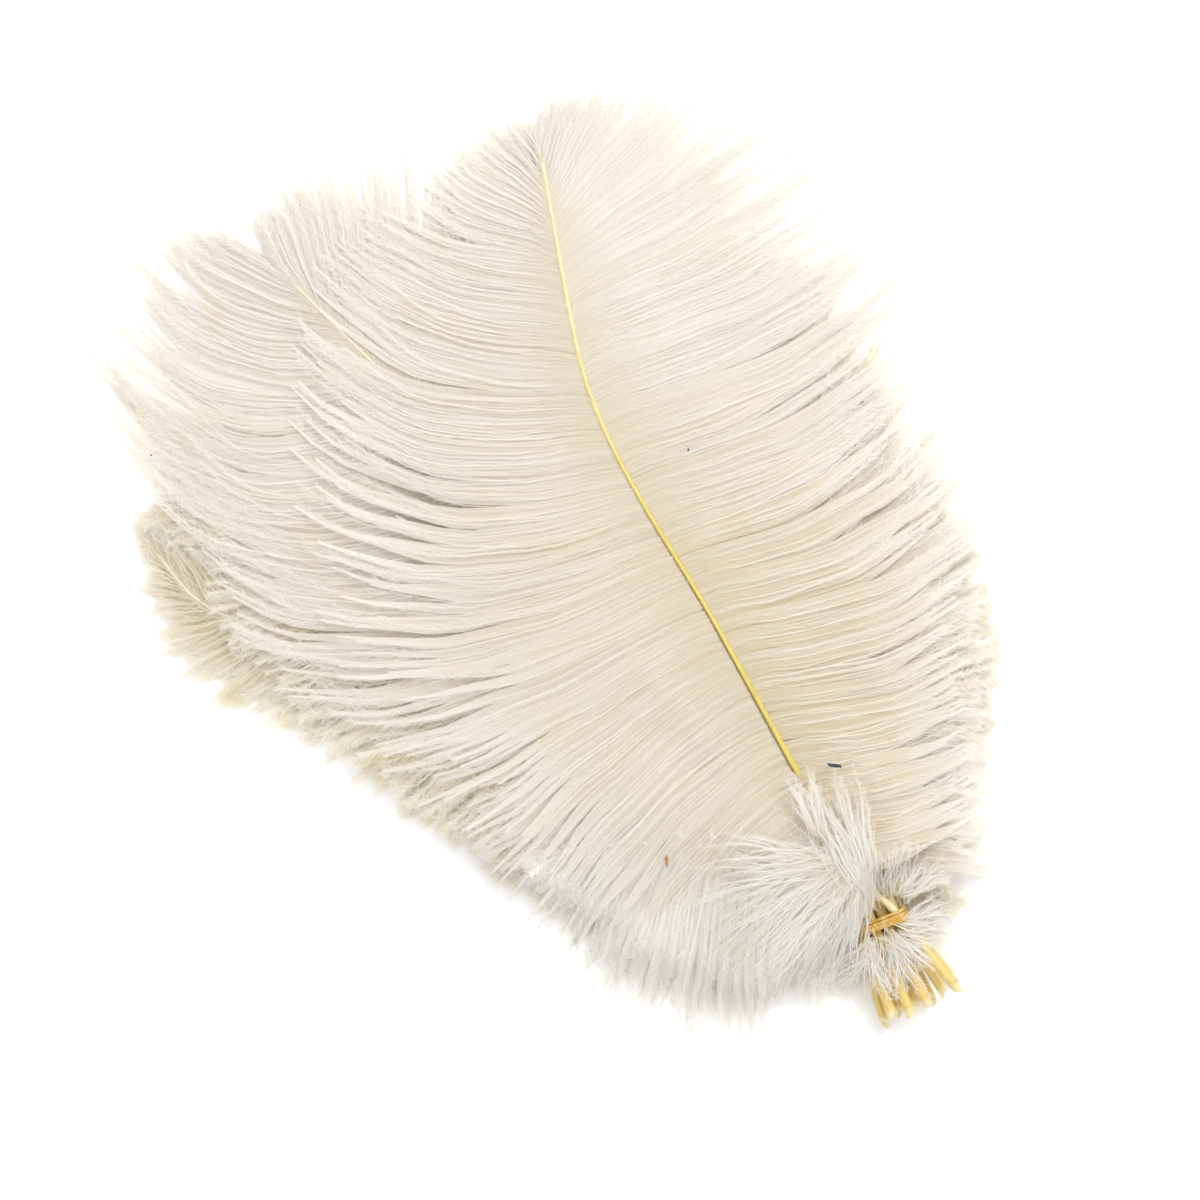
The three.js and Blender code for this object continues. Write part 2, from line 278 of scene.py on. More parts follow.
@dataclass(frozen=True)
class DownFinish:
    """Barbs and barbules: bleached white keratin fibre that lets light through."""

    name: str
    body: Colour
    root: Colour
    # painted shade: the warm colour that strands take where shade falls in and between them
    painted_shade_colour: Colour
    stain: Colour = srgb(250, 240, 208)
    tip: Colour = srgb(255, 254, 250)
    stain_amount: float = 0.5
    glow: float = 0.4
    THROUGH = 0.15  # how far the light that comes through leans to the painted shade colour
    TINTING = 0.55  # share of the stain in the warmest barbs
    WHITENING = 0.75  # share of the tip's colour at the tip
    PATCHES = 52.0  # noise scale of the stained patches
    FIBRE_SLANT = 1.7
    FIBRE_SHADE = 0.16

    def material(self) -> bpy.types.Material:
        """The finish as a material that reads the strand and grain attributes."""
        r = Recipe(self.name)
        along, tint, depth = r.attribute("strand")
        reach, across, barb = r.attribute("grain")
        colour = r.blend(along.band(0.0, 0.3), self.root, self.body)
        colour = r.blend((1 - tint) * self.TINTING, colour, self.stain)
        colour = r.blend(along.band(0.4, 0.95) * self.WHITENING, colour, self.tip)
        patches = r.noise(self.PATCHES, 3.0).band(0.56, 0.72)
        colour = r.blend(patches * self.stain_amount, colour, self.stain)
        # painted shade: the strand attribute's third channel darkens the colour where shade falls in and
        # between strands, less towards the barb tips
        depth = (depth * (1.0 - 0.88 * along.band(0.55, 0.95))).clamped()
        colour = r.blend(depth, colour, self.painted_shade_colour)
        swept = reach - across.size() * self.FIBRE_SLANT
        fibres = r.noise(1.0, 3.0, r.joined(swept * 2.6, across * 0.5, barb * 40.0))
        # painted shade in the grooves between fine fibres
        colour = r.blend(fibres.band(0.62, 0.3) * self.FIBRE_SHADE, colour, self.painted_shade_colour)
        inputs = {
            "Base Color": colour,
            "Roughness": 0.6 + fibres * 0.25,
            "Normal": r.bump(fibres, 0.0006, 0.5),
            "Specular IOR Level": 0.3,
            "Sheen Weight": 0.12,
            "Sheen Roughness": 0.4,
        }
        front = r.node("ShaderNodeBsdfPrincipled", {}, inputs)
        through = tuple(mix(body, painted_shade_colour, self.THROUGH) for body, painted_shade_colour in zip(self.body, self.painted_shade_colour))
        behind = r.node("ShaderNodeBsdfTranslucent", {}, {"Color": through})
        return r.surface(r.node("ShaderNodeMixShader", {}, {0: self.glow, 1: front, 2: behind}))


@dataclass(frozen=True)
class KeratinFinish:
    """Quill and shaft: horn-like, yellow at the quill and white at the tip."""

    name: str
    stem: Colour
    # painted shade: the dark colour that the shaft's left side and groove take, away from the key light
    groove_shade_colour: Colour
    quill: Colour = srgb(226, 200, 122)
    tip: Colour = srgb(245, 237, 190)
    streak: Colour = srgb(188, 154, 74)
    lip: Colour = srgb(250, 240, 205)
    STREAKING = 0.5
    GROOVE_SHADING = 0.8  # share of the painted shade colour down the shaft's left side and groove

    def material(self) -> bpy.types.Material:
        """The finish as a material that reads the grain attribute."""
        r = Recipe(self.name)
        along, around, lip = r.attribute("grain")
        colour = r.blend(along.band(0.12, 0.2), self.quill, self.stem)
        colour = r.blend(along.band(0.5, 1.0), colour, self.tip)
        streaks = r.noise(1.0, 4.0, r.stretched((2600.0, 160.0, 900.0)))
        colour = r.blend(streaks.band(0.42, 0.7) * self.STREAKING, colour, self.streak)
        # painted shade: a dark band down the shaft's left side and groove, faded out near the quill and
        # towards the tip
        side = around.band(0.29, 0.34) * (1 - around.band(0.46, 0.52)) * (1 - along.band(0.45, 0.75))
        colour = r.blend(side * along.band(0.14, 0.2) * self.GROOVE_SHADING, colour, self.groove_shade_colour)
        colour = r.blend(lip * 0.8, colour, self.lip)
        inputs = {
            "Base Color": colour,
            "Roughness": 0.36 + streaks * 0.2,
            "Normal": r.bump(streaks, 0.0002, 0.35),
            "Coat Weight": 0.15,
            "Coat Roughness": 0.3,
            "Subsurface Weight": 0.12,
            "Subsurface Scale": 0.0015,
        }
        return r.surface(r.node("ShaderNodeBsdfPrincipled", {}, inputs))


@dataclass(frozen=True)
class ThreadFinish:
    """Waxed ochre cotton thread with dark binding bits."""

    name: str = "ochre_thread"
    cotton: Colour = srgb(222, 172, 66)
    pale: Colour = srgb(236, 204, 128)
    dark: Colour = srgb(96, 62, 30)

    def material(self) -> bpy.types.Material:
        """The finish as a material."""
        r = Recipe(self.name)
        colour = r.blend(r.noise(420.0, 3.0).band(0.35, 0.65), self.cotton, self.pale)
        colour = r.blend(r.noise(190.0, 2.0).band(0.6, 0.68) * 0.85, colour, self.dark)
        twist = r.noise(1.0, 2.0, r.stretched((5200.0, 2400.0, 5200.0)))
        inputs = {
            "Base Color": colour,
            "Roughness": 0.7 + twist * 0.2,
            "Normal": r.bump(twist, 0.0002, 0.6),
            "Sheen Weight": 0.2,
        }
        return r.surface(r.node("ShaderNodeBsdfPrincipled", {}, inputs))


@dataclass(frozen=True)
class SpeckFinish:
    """A speck of dirt caught in the barbs."""

    name: str
    colour: Colour
    rim: Colour

    def material(self) -> bpy.types.Material:
        """The finish as a material."""
        r = Recipe(self.name)
        grain = r.noise(2400.0, 2.0)
        inputs = {
            "Base Color": r.blend(grain.band(0.4, 0.7), self.colour, self.rim),
            "Roughness": 0.55 + grain * 0.3,
            "Normal": r.bump(grain, 0.0001, 0.5),
        }
        return r.surface(r.node("ShaderNodeBsdfPrincipled", {}, inputs))


# ---- Plan of the plumes ---------------------------------------------------------------------------


class Side(Enum):
    """The two sides of a plume, as seen with its tip up."""

    LEFT = 1
    RIGHT = -1


class Row(Enum):
    """Height of a quill's centre in the bundle: at the tie and at its cut end."""

    LOWER = (3.8, 3.6)
    UPPER = (7.8, 8.3)
    CROWN = (12.3, 13.0)


@dataclass(frozen=True)
class Vane:
    """One side of a plume, at even stations from the vane's start to the shaft's tip.

    angle is where a barb leaves the shaft and curl how far it turns forwards, in degrees; reach is
    its length in millimetres. shade is how much painted shade darkens the colour in and between
    strands, at the start and at the tip of the vane.
    """

    angle: Span
    curl: Span
    reach: Span
    shade: tuple[float, float] = (1.0, 0.6)


@dataclass(frozen=True)
class Looks:
    """How the barbs of a plume hang together.

    pitch: millimetres between barbs. barbules: how many the plume has. start: where its base down
    begins, measured along the shaft from the tie. base_reach: reach of that down beside the first
    full barbs. strands and locks: barbs in a strand and in a lock, least and most. clump: how far
    they draw together. crown: how far a lock's middle stands up. wave: sideways wave. fluff: how much
    barbs stray. ragged: how uneven their ends are. tone: how white they are. depth and
    gap: how much painted shade darkens the colour in the strands and between them,
    where shade falls. broad: a scale of the shaft near its tip. blade and splay:
    a barbule's length and its angle, at the root and at the tip of a barb.
    """

    pitch: float
    barbules: int
    start: float = 22.0
    base_reach: float = 0.62
    strands: tuple[int, int] = (2, 4)
    locks: tuple[int, int] = (7, 14)
    clump: float = 0.4
    crown: float = 0.6
    wave: float = 0.6
    fluff: float = 0.5
    ragged: float = 0.13
    tone: float = 0.75
    depth: float = 0.3
    gap: float = 0.3
    broad: float = 1.0
    blade: tuple[float, float] = (4.2, 3.8)
    splay: tuple[float, float] = (14.0, 36.0)


@dataclass(frozen=True)
class Tuft:
    """A spray of down that starts on one spot.

    root: plan point. height: least height there. heading: middle direction, and the spread to either
    side, in degrees. curl: how far the sides turn outwards. bend: how far all of it turns. width: how
    far apart the roots are. arch: how far the barbs stand off the pile. fullness: barbules a
    millimetre.
    """

    root: tuple[float, float]
    height: float
    heading: float
    spread: float
    count: int
    reach: tuple[float, float]
    curl: float = 0.0
    bend: float = 0.0
    width: float = 4.0
    arch: float = 1.5
    ribbon: float = 0.5
    fullness: float = 3.6


class ShaftLine:
    """A plume's shaft as a smooth plan curve through its points, measured along its length."""

    def __init__(self, points: tuple[tuple[float, float], ...]) -> None:
        """Samples the curve finely."""
        p = np.array(points, float)
        p = np.vstack([2 * p[0] - p[1], p, 2 * p[-1] - p[-2]])
        u = np.linspace(0, 1, 90)[:, None]
        pieces = []
        for i in range(1, len(p) - 2):
            slope, slope_next = (p[i + 1] - p[i - 1]) / 2, (p[i + 2] - p[i]) / 2
            rise = 2 * p[i] - 2 * p[i + 1] + slope + slope_next
            bend = -3 * p[i] + 3 * p[i + 1] - 2 * slope - slope_next
            pieces.append(((rise * u + bend) * u + slope) * u + p[i])
        line = np.vstack([x[:-1] for x in pieces] + [p[-2:-1]])
        self.line = line
        self.place = run(line)
        self.length = float(self.place[-1])
        self.to_tie = float(self.place[np.linalg.norm(line - p[2], axis=1).argmin()])

    def at(self, distance: Array) -> Array:
        """Plan points at distances along the shaft."""
        return np.stack([np.interp(distance, self.place, c) for c in self.line.T], -1)

    def heading(self, distance: Array) -> Array:
        """The shaft's direction, in radians, at distances along it."""
        ahead = self.at(np.minimum(distance + 0.5, self.length))
        step = ahead - self.at(np.minimum(distance + 0.5, self.length) - 1.0)
        return np.arctan2(step[..., 1], step[..., 0])


@dataclass
class Plume:
    """One ostrich plume: a hollow cut quill, its shaft, and barbs with barbules on both sides."""

    name: str
    row: Row
    quill: float
    vane: float
    points: tuple[tuple[float, float], ...]
    left: Vane
    right: Vane
    looks: Looks
    tufts: tuple[Tuft, ...] = ()
    tucked: tuple[float, float] | None = None  # plan height where it dives under the plume before it
    line: ShaftLine = field(init=False)

    def __post_init__(self) -> None:
        """Lays out the shaft's curve."""
        self.line = ShaftLine(self.points)

    def side(self, side: Side) -> Vane:
        """The vane on one side."""
        return self.left if side is Side.LEFT else self.right

    def diameter(self, distance: Array) -> Array:
        """Shaft diameter at distances along it."""
        left = (self.line.length - distance) / (self.line.length - self.line.to_tie)
        return mix(SHAFT_TIP_DIAMETER, self.quill, np.clip(left, 0, 1) ** SHAFT_TAPER)

    def barbs(self, side: Side, t: Array, reach: Array) -> Array:
        """Plan points of barbs at vane stations t, for a scale of their reach, as (n, steps + 1, 2).

        A station below 0 is in the base down, between the tie and the vane.
        """
        vane = self.side(side)
        distance = mix(self.line.to_tie + self.vane, self.line.length, t)
        bend = ((np.arange(BARB_STEPS) + 0.5) / BARB_STEPS) ** BARB_BEND
        step = (station(vane.reach, t) * reach / BARB_STEPS)[:, None]
        hook = HOOK_ANGLE * np.exp(-step * (np.arange(BARB_STEPS) + 0.5) / HOOK_LENGTH)
        turn = station(vane.angle, t)[:, None] - station(vane.curl, t)[:, None] * bend - hook
        turn = self.line.heading(distance)[:, None] + side.value * np.radians(turn)
        path = np.stack([step * np.cos(turn), step * np.sin(turn)], -1)
        root = self.line.at(distance)[:, None]
        return np.concatenate([root, root + np.cumsum(path, 1)], 1)

    def first(self) -> float:
        """The vane station, at or below 0, where the base down begins."""
        full = self.line.length - self.line.to_tie - self.vane
        return min(0.0, (self.looks.start - self.vane) / full)


class Pile:
    """How the plumes lie on each other: the room each takes, and the heights that follow."""

    CELL = 2.0
    WEST, SOUTH = -270.0, -70.0
    COLUMNS, ROWS = 220, 215
    FILL = 0.9  # the share of its room that a plume's barbs fill
    RIDGE = 0.4  # room over a shaft that lies under other barbs
    TUCK = 2.2  # how deep a tucked plume lies in the one before it

    def __init__(self, plumes: list[Plume]) -> None:
        """Maps where each plume covers the plan, and the bed that each lies on."""
        self.plumes = plumes
        self.cover = [self._cover(p) for p in plumes]
        self.above = []
        clear = np.ones((self.ROWS, self.COLUMNS))
        for cover in reversed(self.cover):
            self.above.insert(0, clear.copy())
            clear *= 1 - cover
        x = self.WEST + (np.arange(self.COLUMNS) + 0.5) * self.CELL
        y = self.SOUTH + (np.arange(self.ROWS) + 0.5) * self.CELL
        x, y = np.meshgrid(x, y)
        self.beds = []
        top = np.zeros((self.ROWS, self.COLUMNS))
        for k, plume in enumerate(plumes):
            bed = self._blur(self._widened(self._widened(top)), 3)
            if plume.tucked:
                bed = mix(bed, self.beds[-1] - self.TUCK, smooth(*plume.tucked, y))
            self.beds.append(bed)
            top = np.maximum(top, (bed + self.FILL * self.room(k, x, y)) * self.cover[k])
            top = np.maximum(top, self._ridge(k))
        self.top = self._blur(self._widened(top), 4)

    def _cells(self, x: Array, y: Array) -> tuple[Array, Array]:
        """Rows and columns of the cells that hold plan points."""
        column = ((x - self.WEST) / self.CELL).astype(int).clip(0, self.COLUMNS - 1)
        return ((y - self.SOUTH) / self.CELL).astype(int).clip(0, self.ROWS - 1), column

    def _blur(self, grid: Array, times: int) -> Array:
        """A map smoothed a few times over its neighbours."""
        for _ in range(times):
            padded = np.pad(grid, 1)
            grid = (padded[:-2, 1:-1] + padded[2:, 1:-1] + 2 * padded[1:-1, 1:-1]) / 4
            padded = np.pad(grid, 1)
            grid = (padded[1:-1, :-2] + padded[1:-1, 2:] + 2 * padded[1:-1, 1:-1]) / 4
        return grid

    def _widened(self, grid: Array) -> Array:
        """A map where each cell takes the highest of its neighbours."""
        padded = np.pad(grid, 1)
        grid = np.maximum(np.maximum(padded[:-2], padded[2:]), padded[1:-1])
        return np.maximum(np.maximum(grid[:, :-2], grid[:, 2:]), grid[:, 1:-1])

    def _ridge(self, k: int) -> Array:
        """The top of plume k's shaft, as a map that is 0 elsewhere."""
        plume = self.plumes[k]
        distance = np.linspace(0, plume.line.length, 900)
        x, y = plume.line.at(distance).T
        height = self.shaft(k, distance)[:, 2] + plume.diameter(distance) / 2 + self.RIDGE
        tip = smooth(0.75, 1.0, distance / plume.line.length)
        grid = np.zeros((self.ROWS, self.COLUMNS))
        np.maximum.at(grid, self._cells(x, y), height * (1 - tip))
        return grid

    def _cover(self, plume: Plume) -> Array:
        """A soft map, 0 to 1, of where the plume's barbs lie."""
        t = np.linspace(plume.first(), 1, 500)
        reach = mix(1.0, plume.looks.base_reach, np.clip(t / min(plume.first(), -1e-6), 0, 1))
        grid = np.zeros((self.ROWS, self.COLUMNS))
        for side in Side:
            path = plume.barbs(side, t, reach)
            for part in np.linspace(0, 1, 3, endpoint=False):
                spots = mix(path[:, :-1], path[:, 1:], part).reshape(-1, 2)
                grid[self._cells(*spots.T)] = 1
        return np.clip(self._blur(grid, 4) * 1.3, 0, 1)

    def read(self, grid: Array, x: Array, y: Array) -> Array:
        """The value of a map at plan points."""
        u = np.clip((x - self.WEST) / self.CELL - 0.5, 0, self.COLUMNS - 1.001)
        v = np.clip((y - self.SOUTH) / self.CELL - 0.5, 0, self.ROWS - 1.001)
        i, j = u.astype(int), v.astype(int)
        low = mix(grid[j, i], grid[j, i + 1], u - i)
        return mix(low, mix(grid[j + 1, i], grid[j + 1, i + 1], u - i), v - j)

    def room(self, k: int, x: Array, y: Array) -> Array:
        """The room that plume k takes over plan points: thick along its shaft, thin elsewhere."""
        plume = self.plumes[k]
        tip, tie = np.array(plume.points[-1]), np.array(plume.points[1])
        chord = float(np.linalg.norm(tip - tie))
        ahead = (tip - tie) / chord
        along = (x - tie[0]) * ahead[0] + (y - tie[1]) * ahead[1]
        across = (y - tie[1]) * ahead[0] - (x - tie[0]) * ahead[1]
        reached = np.clip(along, RISE_END, chord)
        line = plume.line
        diameter = plume.diameter(line.to_tie + reached / chord * (line.length - line.to_tie))
        puff = LAYER_PUFF * smooth(RISE_END, chord / 2, reached) * (1 - smooth(chord / 2, chord, reached))
        past = np.maximum(0, along - chord)
        room = diameter + LAYER_CLEARANCE + puff - LAYER_EDGE
        return LAYER_EDGE + room * np.exp(-(across**2 + past**2) / LAYER_SPREAD**2)

    def height(self, k: int, x: Array, y: Array) -> Array:
        """Height of the middle of plume k's stiff shaft over plan points."""
        at_tie, at_cut = self.plumes[k].row.value
        held = mix(at_tie, at_cut, smooth(0, -CUT_Y, -y))
        layer = self.room(k, x, y) / 2
        for below in range(k):
            layer = layer + self.room(below, x, y)
        return mix(held, layer, smooth(RISE_START, RISE_END, np.hypot(x, y)))

    def shaft(self, k: int, distance: Array) -> Array:
        """Points of the middle of plume k's shaft: stiff near the tie, then down to its bed."""
        x, y = self.plumes[k].line.at(distance).T
        part = distance / self.plumes[k].line.length
        laid = self.read(self.beds[k], x, y) + mix(0.35, 0.7, smooth(0.7, 0.85, part)) * self.room(k, x, y)
        share = smooth(0.25, 0.6, part)
        if self.plumes[k].tucked:
            share = np.maximum(share, smooth(*self.plumes[k].tucked, y))
        return np.stack([x, y, mix(self.height(k, x, y), laid, share)], 1)


# ---- Meshes ---------------------------------------------------------------------------------------


@dataclass
class Skin:
    """Triangles with their material number, an attribute colour per vertex, and a bake map."""

    points: Array
    faces: Array
    strand: Array
    grain: Array
    spots: Array
    material: int
    is_smooth: bool


class Cloth:
    """Gathers skins into one mesh object."""

    def __init__(self, name: str) -> None:
        """Starts an empty piece."""
        self.name = name
        self.skins: list[Skin] = []

    def add(self, skin: Skin) -> None:
        """Takes in one more skin."""
        self.skins.append(skin)

    def made(self, materials: list[bpy.types.Material]) -> bpy.types.Object:
        """The finished object, in metres and in place.

        Args:
            materials: its material slots, in the order of the skins' numbers.

        Returns:
            The linked object.
        """
        count = np.cumsum([0] + [len(s.points) for s in self.skins])
        points = np.vstack([s.points for s in self.skins]) + (*PLAN_SHIFT, 0.0)
        faces = np.vstack([s.faces + start for s, start in zip(self.skins, count)])
        mesh = bpy.data.meshes.new(self.name)
        mesh.vertices.add(len(points))
        mesh.vertices.foreach_set("co", (points * METRE).astype(np.float32).ravel())
        mesh.loops.add(3 * len(faces))
        mesh.loops.foreach_set("vertex_index", faces.astype(np.int32).ravel())
        mesh.polygons.add(len(faces))
        mesh.polygons.foreach_set("loop_start", np.arange(0, 3 * len(faces), 3, dtype=np.int32))
        number = np.concatenate([np.full(len(s.faces), s.material) for s in self.skins])
        mesh.polygons.foreach_set("material_index", number.astype(np.int32))
        rounded = np.concatenate([np.full(len(s.faces), s.is_smooth) for s in self.skins])
        mesh.polygons.foreach_set("use_smooth", rounded)
        mesh.update(calc_edges=True)
        for key in ("strand", "grain"):
            values = np.vstack([getattr(s, key) for s in self.skins])
            colour = np.ones((len(values), 4), np.float32)
            colour[:, :3] = values
            layer = mesh.attributes.new(key, "FLOAT_COLOR", "POINT")
            layer.data.foreach_set("color", colour.ravel())
        spots = np.vstack([s.spots for s in self.skins])[faces.ravel()]
        mesh.uv_layers.new(name=BAKE_MAP).data.foreach_set("uv", spots.astype(np.float32).ravel())
        for material in materials:
            mesh.materials.append(material)
        return placed(self.name, mesh)


@dataclass
class Strands:
    """Many barbs as paths, with what their ribbons and barbules need.

    paths: (n, steps + 1, 3) in millimetres. width: stem width at root and tip. tint: a tone for each
    barb. depth: how much painted shade darkens each barb's colour at each point, where shade
    falls in and between locks. seen: how much of it is in view.
    """

    paths: Array
    width: float
    tint: Array
    depth: Array
    seen: Array
    lean: float = 0.0  # how far a ribbon rolls onto the next, in radians
    scatter: float = 0.5
    KEPT = [0, 1, 2, 3, 4, 6, 8, 10, 12, 14, 16, 18, 20]  # the path points that a ribbon takes
    ROW_FILL = 0.42  # how much of its row in the bake map a barb fills, to either side

    def ribbons(self, rng: np.random.Generator, rows: tuple[float, float]) -> Skin:
        """The barbs as tapered ribbons."""
        paths, depth = self.paths[:, self.KEPT], self.depth[:, self.KEPT]
        n, m = paths.shape[:2]
        ahead = unit(np.gradient(paths, axis=1))
        aside, up = beside(ahead)
        roll = rng.normal(self.lean, self.scatter, (n, 1, 1))
        across = aside * np.cos(roll) + up * np.sin(roll)
        share = np.array(self.KEPT) / BARB_STEPS
        fullness = mix(0.5, 1.0, smooth(0.02, 0.3, share)) * mix(1.0, 0.2, smooth(0.6, 1.0, share))
        half = (self.width / 2 * rng.uniform(0.8, 1.2, (n, 1)) * fullness)[..., None]
        points = np.stack([paths - across * half, paths + across * half], 2)
        points[..., 2] = np.maximum(points[..., 2], FLOOR_GAP)
        first = (np.arange(n)[:, None] * m + np.arange(m - 1)).ravel() * 2
        faces = [np.stack([first, first + 1, first + 3], 1), np.stack([first, first + 3, first + 2], 1)]
        columns = np.array([-1.0, 1.0])
        spread = np.ones((n, m, 2))
        along = share[None, :, None] * spread
        strand = [along, self.tint[:, None, None] * spread, depth[..., None] * spread]
        own = rng.uniform(0, 1, (n, 1, 1))
        grain = [run(paths)[..., None] * spread, half * columns, own * spread]
        row = mix(rows[0], rows[1], (np.arange(n) + 0.5) / n)[:, None, None]
        pitch = (rows[1] - rows[0]) / n * self.ROW_FILL
        spots = [mix(0.01, 0.99, along), (row + pitch * columns) * spread]
        strand, grain, spots = (np.stack(x, -1).reshape(-1, len(x)) for x in (strand, grain, spots))
        return Skin(points.reshape(-1, 3), np.vstack(faces), strand, grain, spots, 0, True)

    def barbules(
        self,
        rng: np.random.Generator,
        rows: tuple[float, float],
        wanted: int,
        length: tuple[float, float],
        angle: tuple[float, float],
        width: float,
        scatter: float,
    ) -> Skin:
        """The barbules, each a fine tapered blade that leaves its barb forwards.

        Args:
            rng: the source of their scatter.
            rows: the band of the bake map that the strands use.
            wanted: how many barbules there are, in all.
            length: their length near the barb's root and at its tip, in millimetres.
            angle: the angle that they leave the barb at, near its root and at its tip, in degrees.
            width: how wide a barbule is where it leaves the barb.
            scatter: how far they stand out of the vane, in radians.

        Returns:
            The blades as a skin.
        """
        n, m = self.paths.shape[:2]
        steps = np.linalg.norm(np.diff(self.paths, axis=1), axis=2)
        reach = steps.sum(1)
        seen = (self.seen[:, :-1] + self.seen[:, 1:]) / 2
        weight = (steps * seen).ravel()
        edges = np.concatenate([[0], np.cumsum(weight)])
        drawn = (np.arange(wanted) + rng.uniform(0, 1, wanted)) * edges[-1] / wanted
        cell = np.clip(np.searchsorted(edges, drawn, side="right") - 1, 0, len(weight) - 1)
        part = np.clip((drawn - edges[cell]) / np.maximum(weight[cell], 1e-9), 0, 1)
        barb, step = cell // (m - 1), cell % (m - 1)
        here, there = self.paths[barb, step], self.paths[barb, step + 1]
        place = mix(here, there, part[:, None])
        along = (step + part) / (m - 1)
        ahead = unit(there - here)
        aside, up = beside(ahead)
        hand = rng.choice([-1.0, 1.0], wanted)[:, None]
        roll = rng.normal(0, scatter, wanted)[:, None]
        out = aside * hand * np.cos(roll) + up * np.sin(roll)
        turn = np.radians(mix(angle[0], angle[1], smooth(0.35, 1.0, along)))
        turn = (turn * rng.uniform(0.6, 1.4, wanted))[:, None]
        blade = ahead * np.cos(turn) + out * np.sin(turn)
        size = mix(length[0], length[1], along) * rng.uniform(0.65, 1.3, wanted)
        size = np.minimum(size, 0.35 * reach[barb])[:, None]
        foot = ahead * width / 2
        tip = place + blade * size
        points = np.stack([place - foot, place + foot, tip], 1)
        points[..., 2] = np.maximum(points[..., 2], FLOOR_GAP)
        points = points.reshape(-1, 3)
        faces = np.arange(3 * wanted).reshape(-1, 3)
        tone = np.clip(self.tint[barb] + rng.uniform(-0.2, 0.2, wanted), 0, 1)
        depth = mix(self.depth[barb, step], self.depth[barb, step + 1], part)
        strand = np.stack([along, tone, depth], 1).repeat(3, 0)
        row = mix(rows[0], rows[1], (barb + 0.5) / n)
        pitch = (rows[1] - rows[0]) / n * self.ROW_FILL
        u = mix(0.01, 0.99, along)
        spots = np.stack([u - 0.002, row - pitch, u + 0.002, row - pitch, u, row + pitch], 1).reshape(-1, 2)
        grain = np.stack([along * reach[barb], np.zeros(wanted), rng.uniform(0, 1, wanted)], 1).repeat(3, 0)
        return Skin(points, faces, strand, grain, spots, 0, False)


def tube(
    centre: Array, radius: Array, sides: int, squash: Array | None = None
) -> tuple[Array, Array, Array]:
    """A round tube along a path.

    Args:
        centre: (m, 3) points of the path.
        radius: the tube's radius at each point.
        sides: how many sides the tube has.
        squash: a scale of the radius for each ring and side, as (m, sides).

    Returns:
        Its points, its faces, and each point's ring and side as shares.
    """
    m = len(centre)
    aside, up = beside(unit(np.gradient(centre, axis=0)))
    angle = np.arange(sides) / sides * 2 * math.pi
    spoke = aside[:, None] * np.cos(angle)[None, :, None] + up[:, None] * np.sin(angle)[None, :, None]
    size = radius[:, None, None] * (1.0 if squash is None else squash[:, :, None])
    points = (centre[:, None] + spoke * size).reshape(-1, 3)
    ring, side = np.meshgrid(np.arange(m - 1), np.arange(sides), indexing="ij")
    after = (side + 1) % sides
    a, b = ring * sides + side, ring * sides + after
    c, d = b + sides, a + sides
    faces = np.vstack([np.stack(corners, -1).reshape(-1, 3) for corners in ([a, c, b], [a, d, c])])
    share = np.stack(np.meshgrid(np.linspace(0, 1, m), np.arange(sides) / sides, indexing="ij"), -1)
    return points, faces, share.reshape(-1, 2)


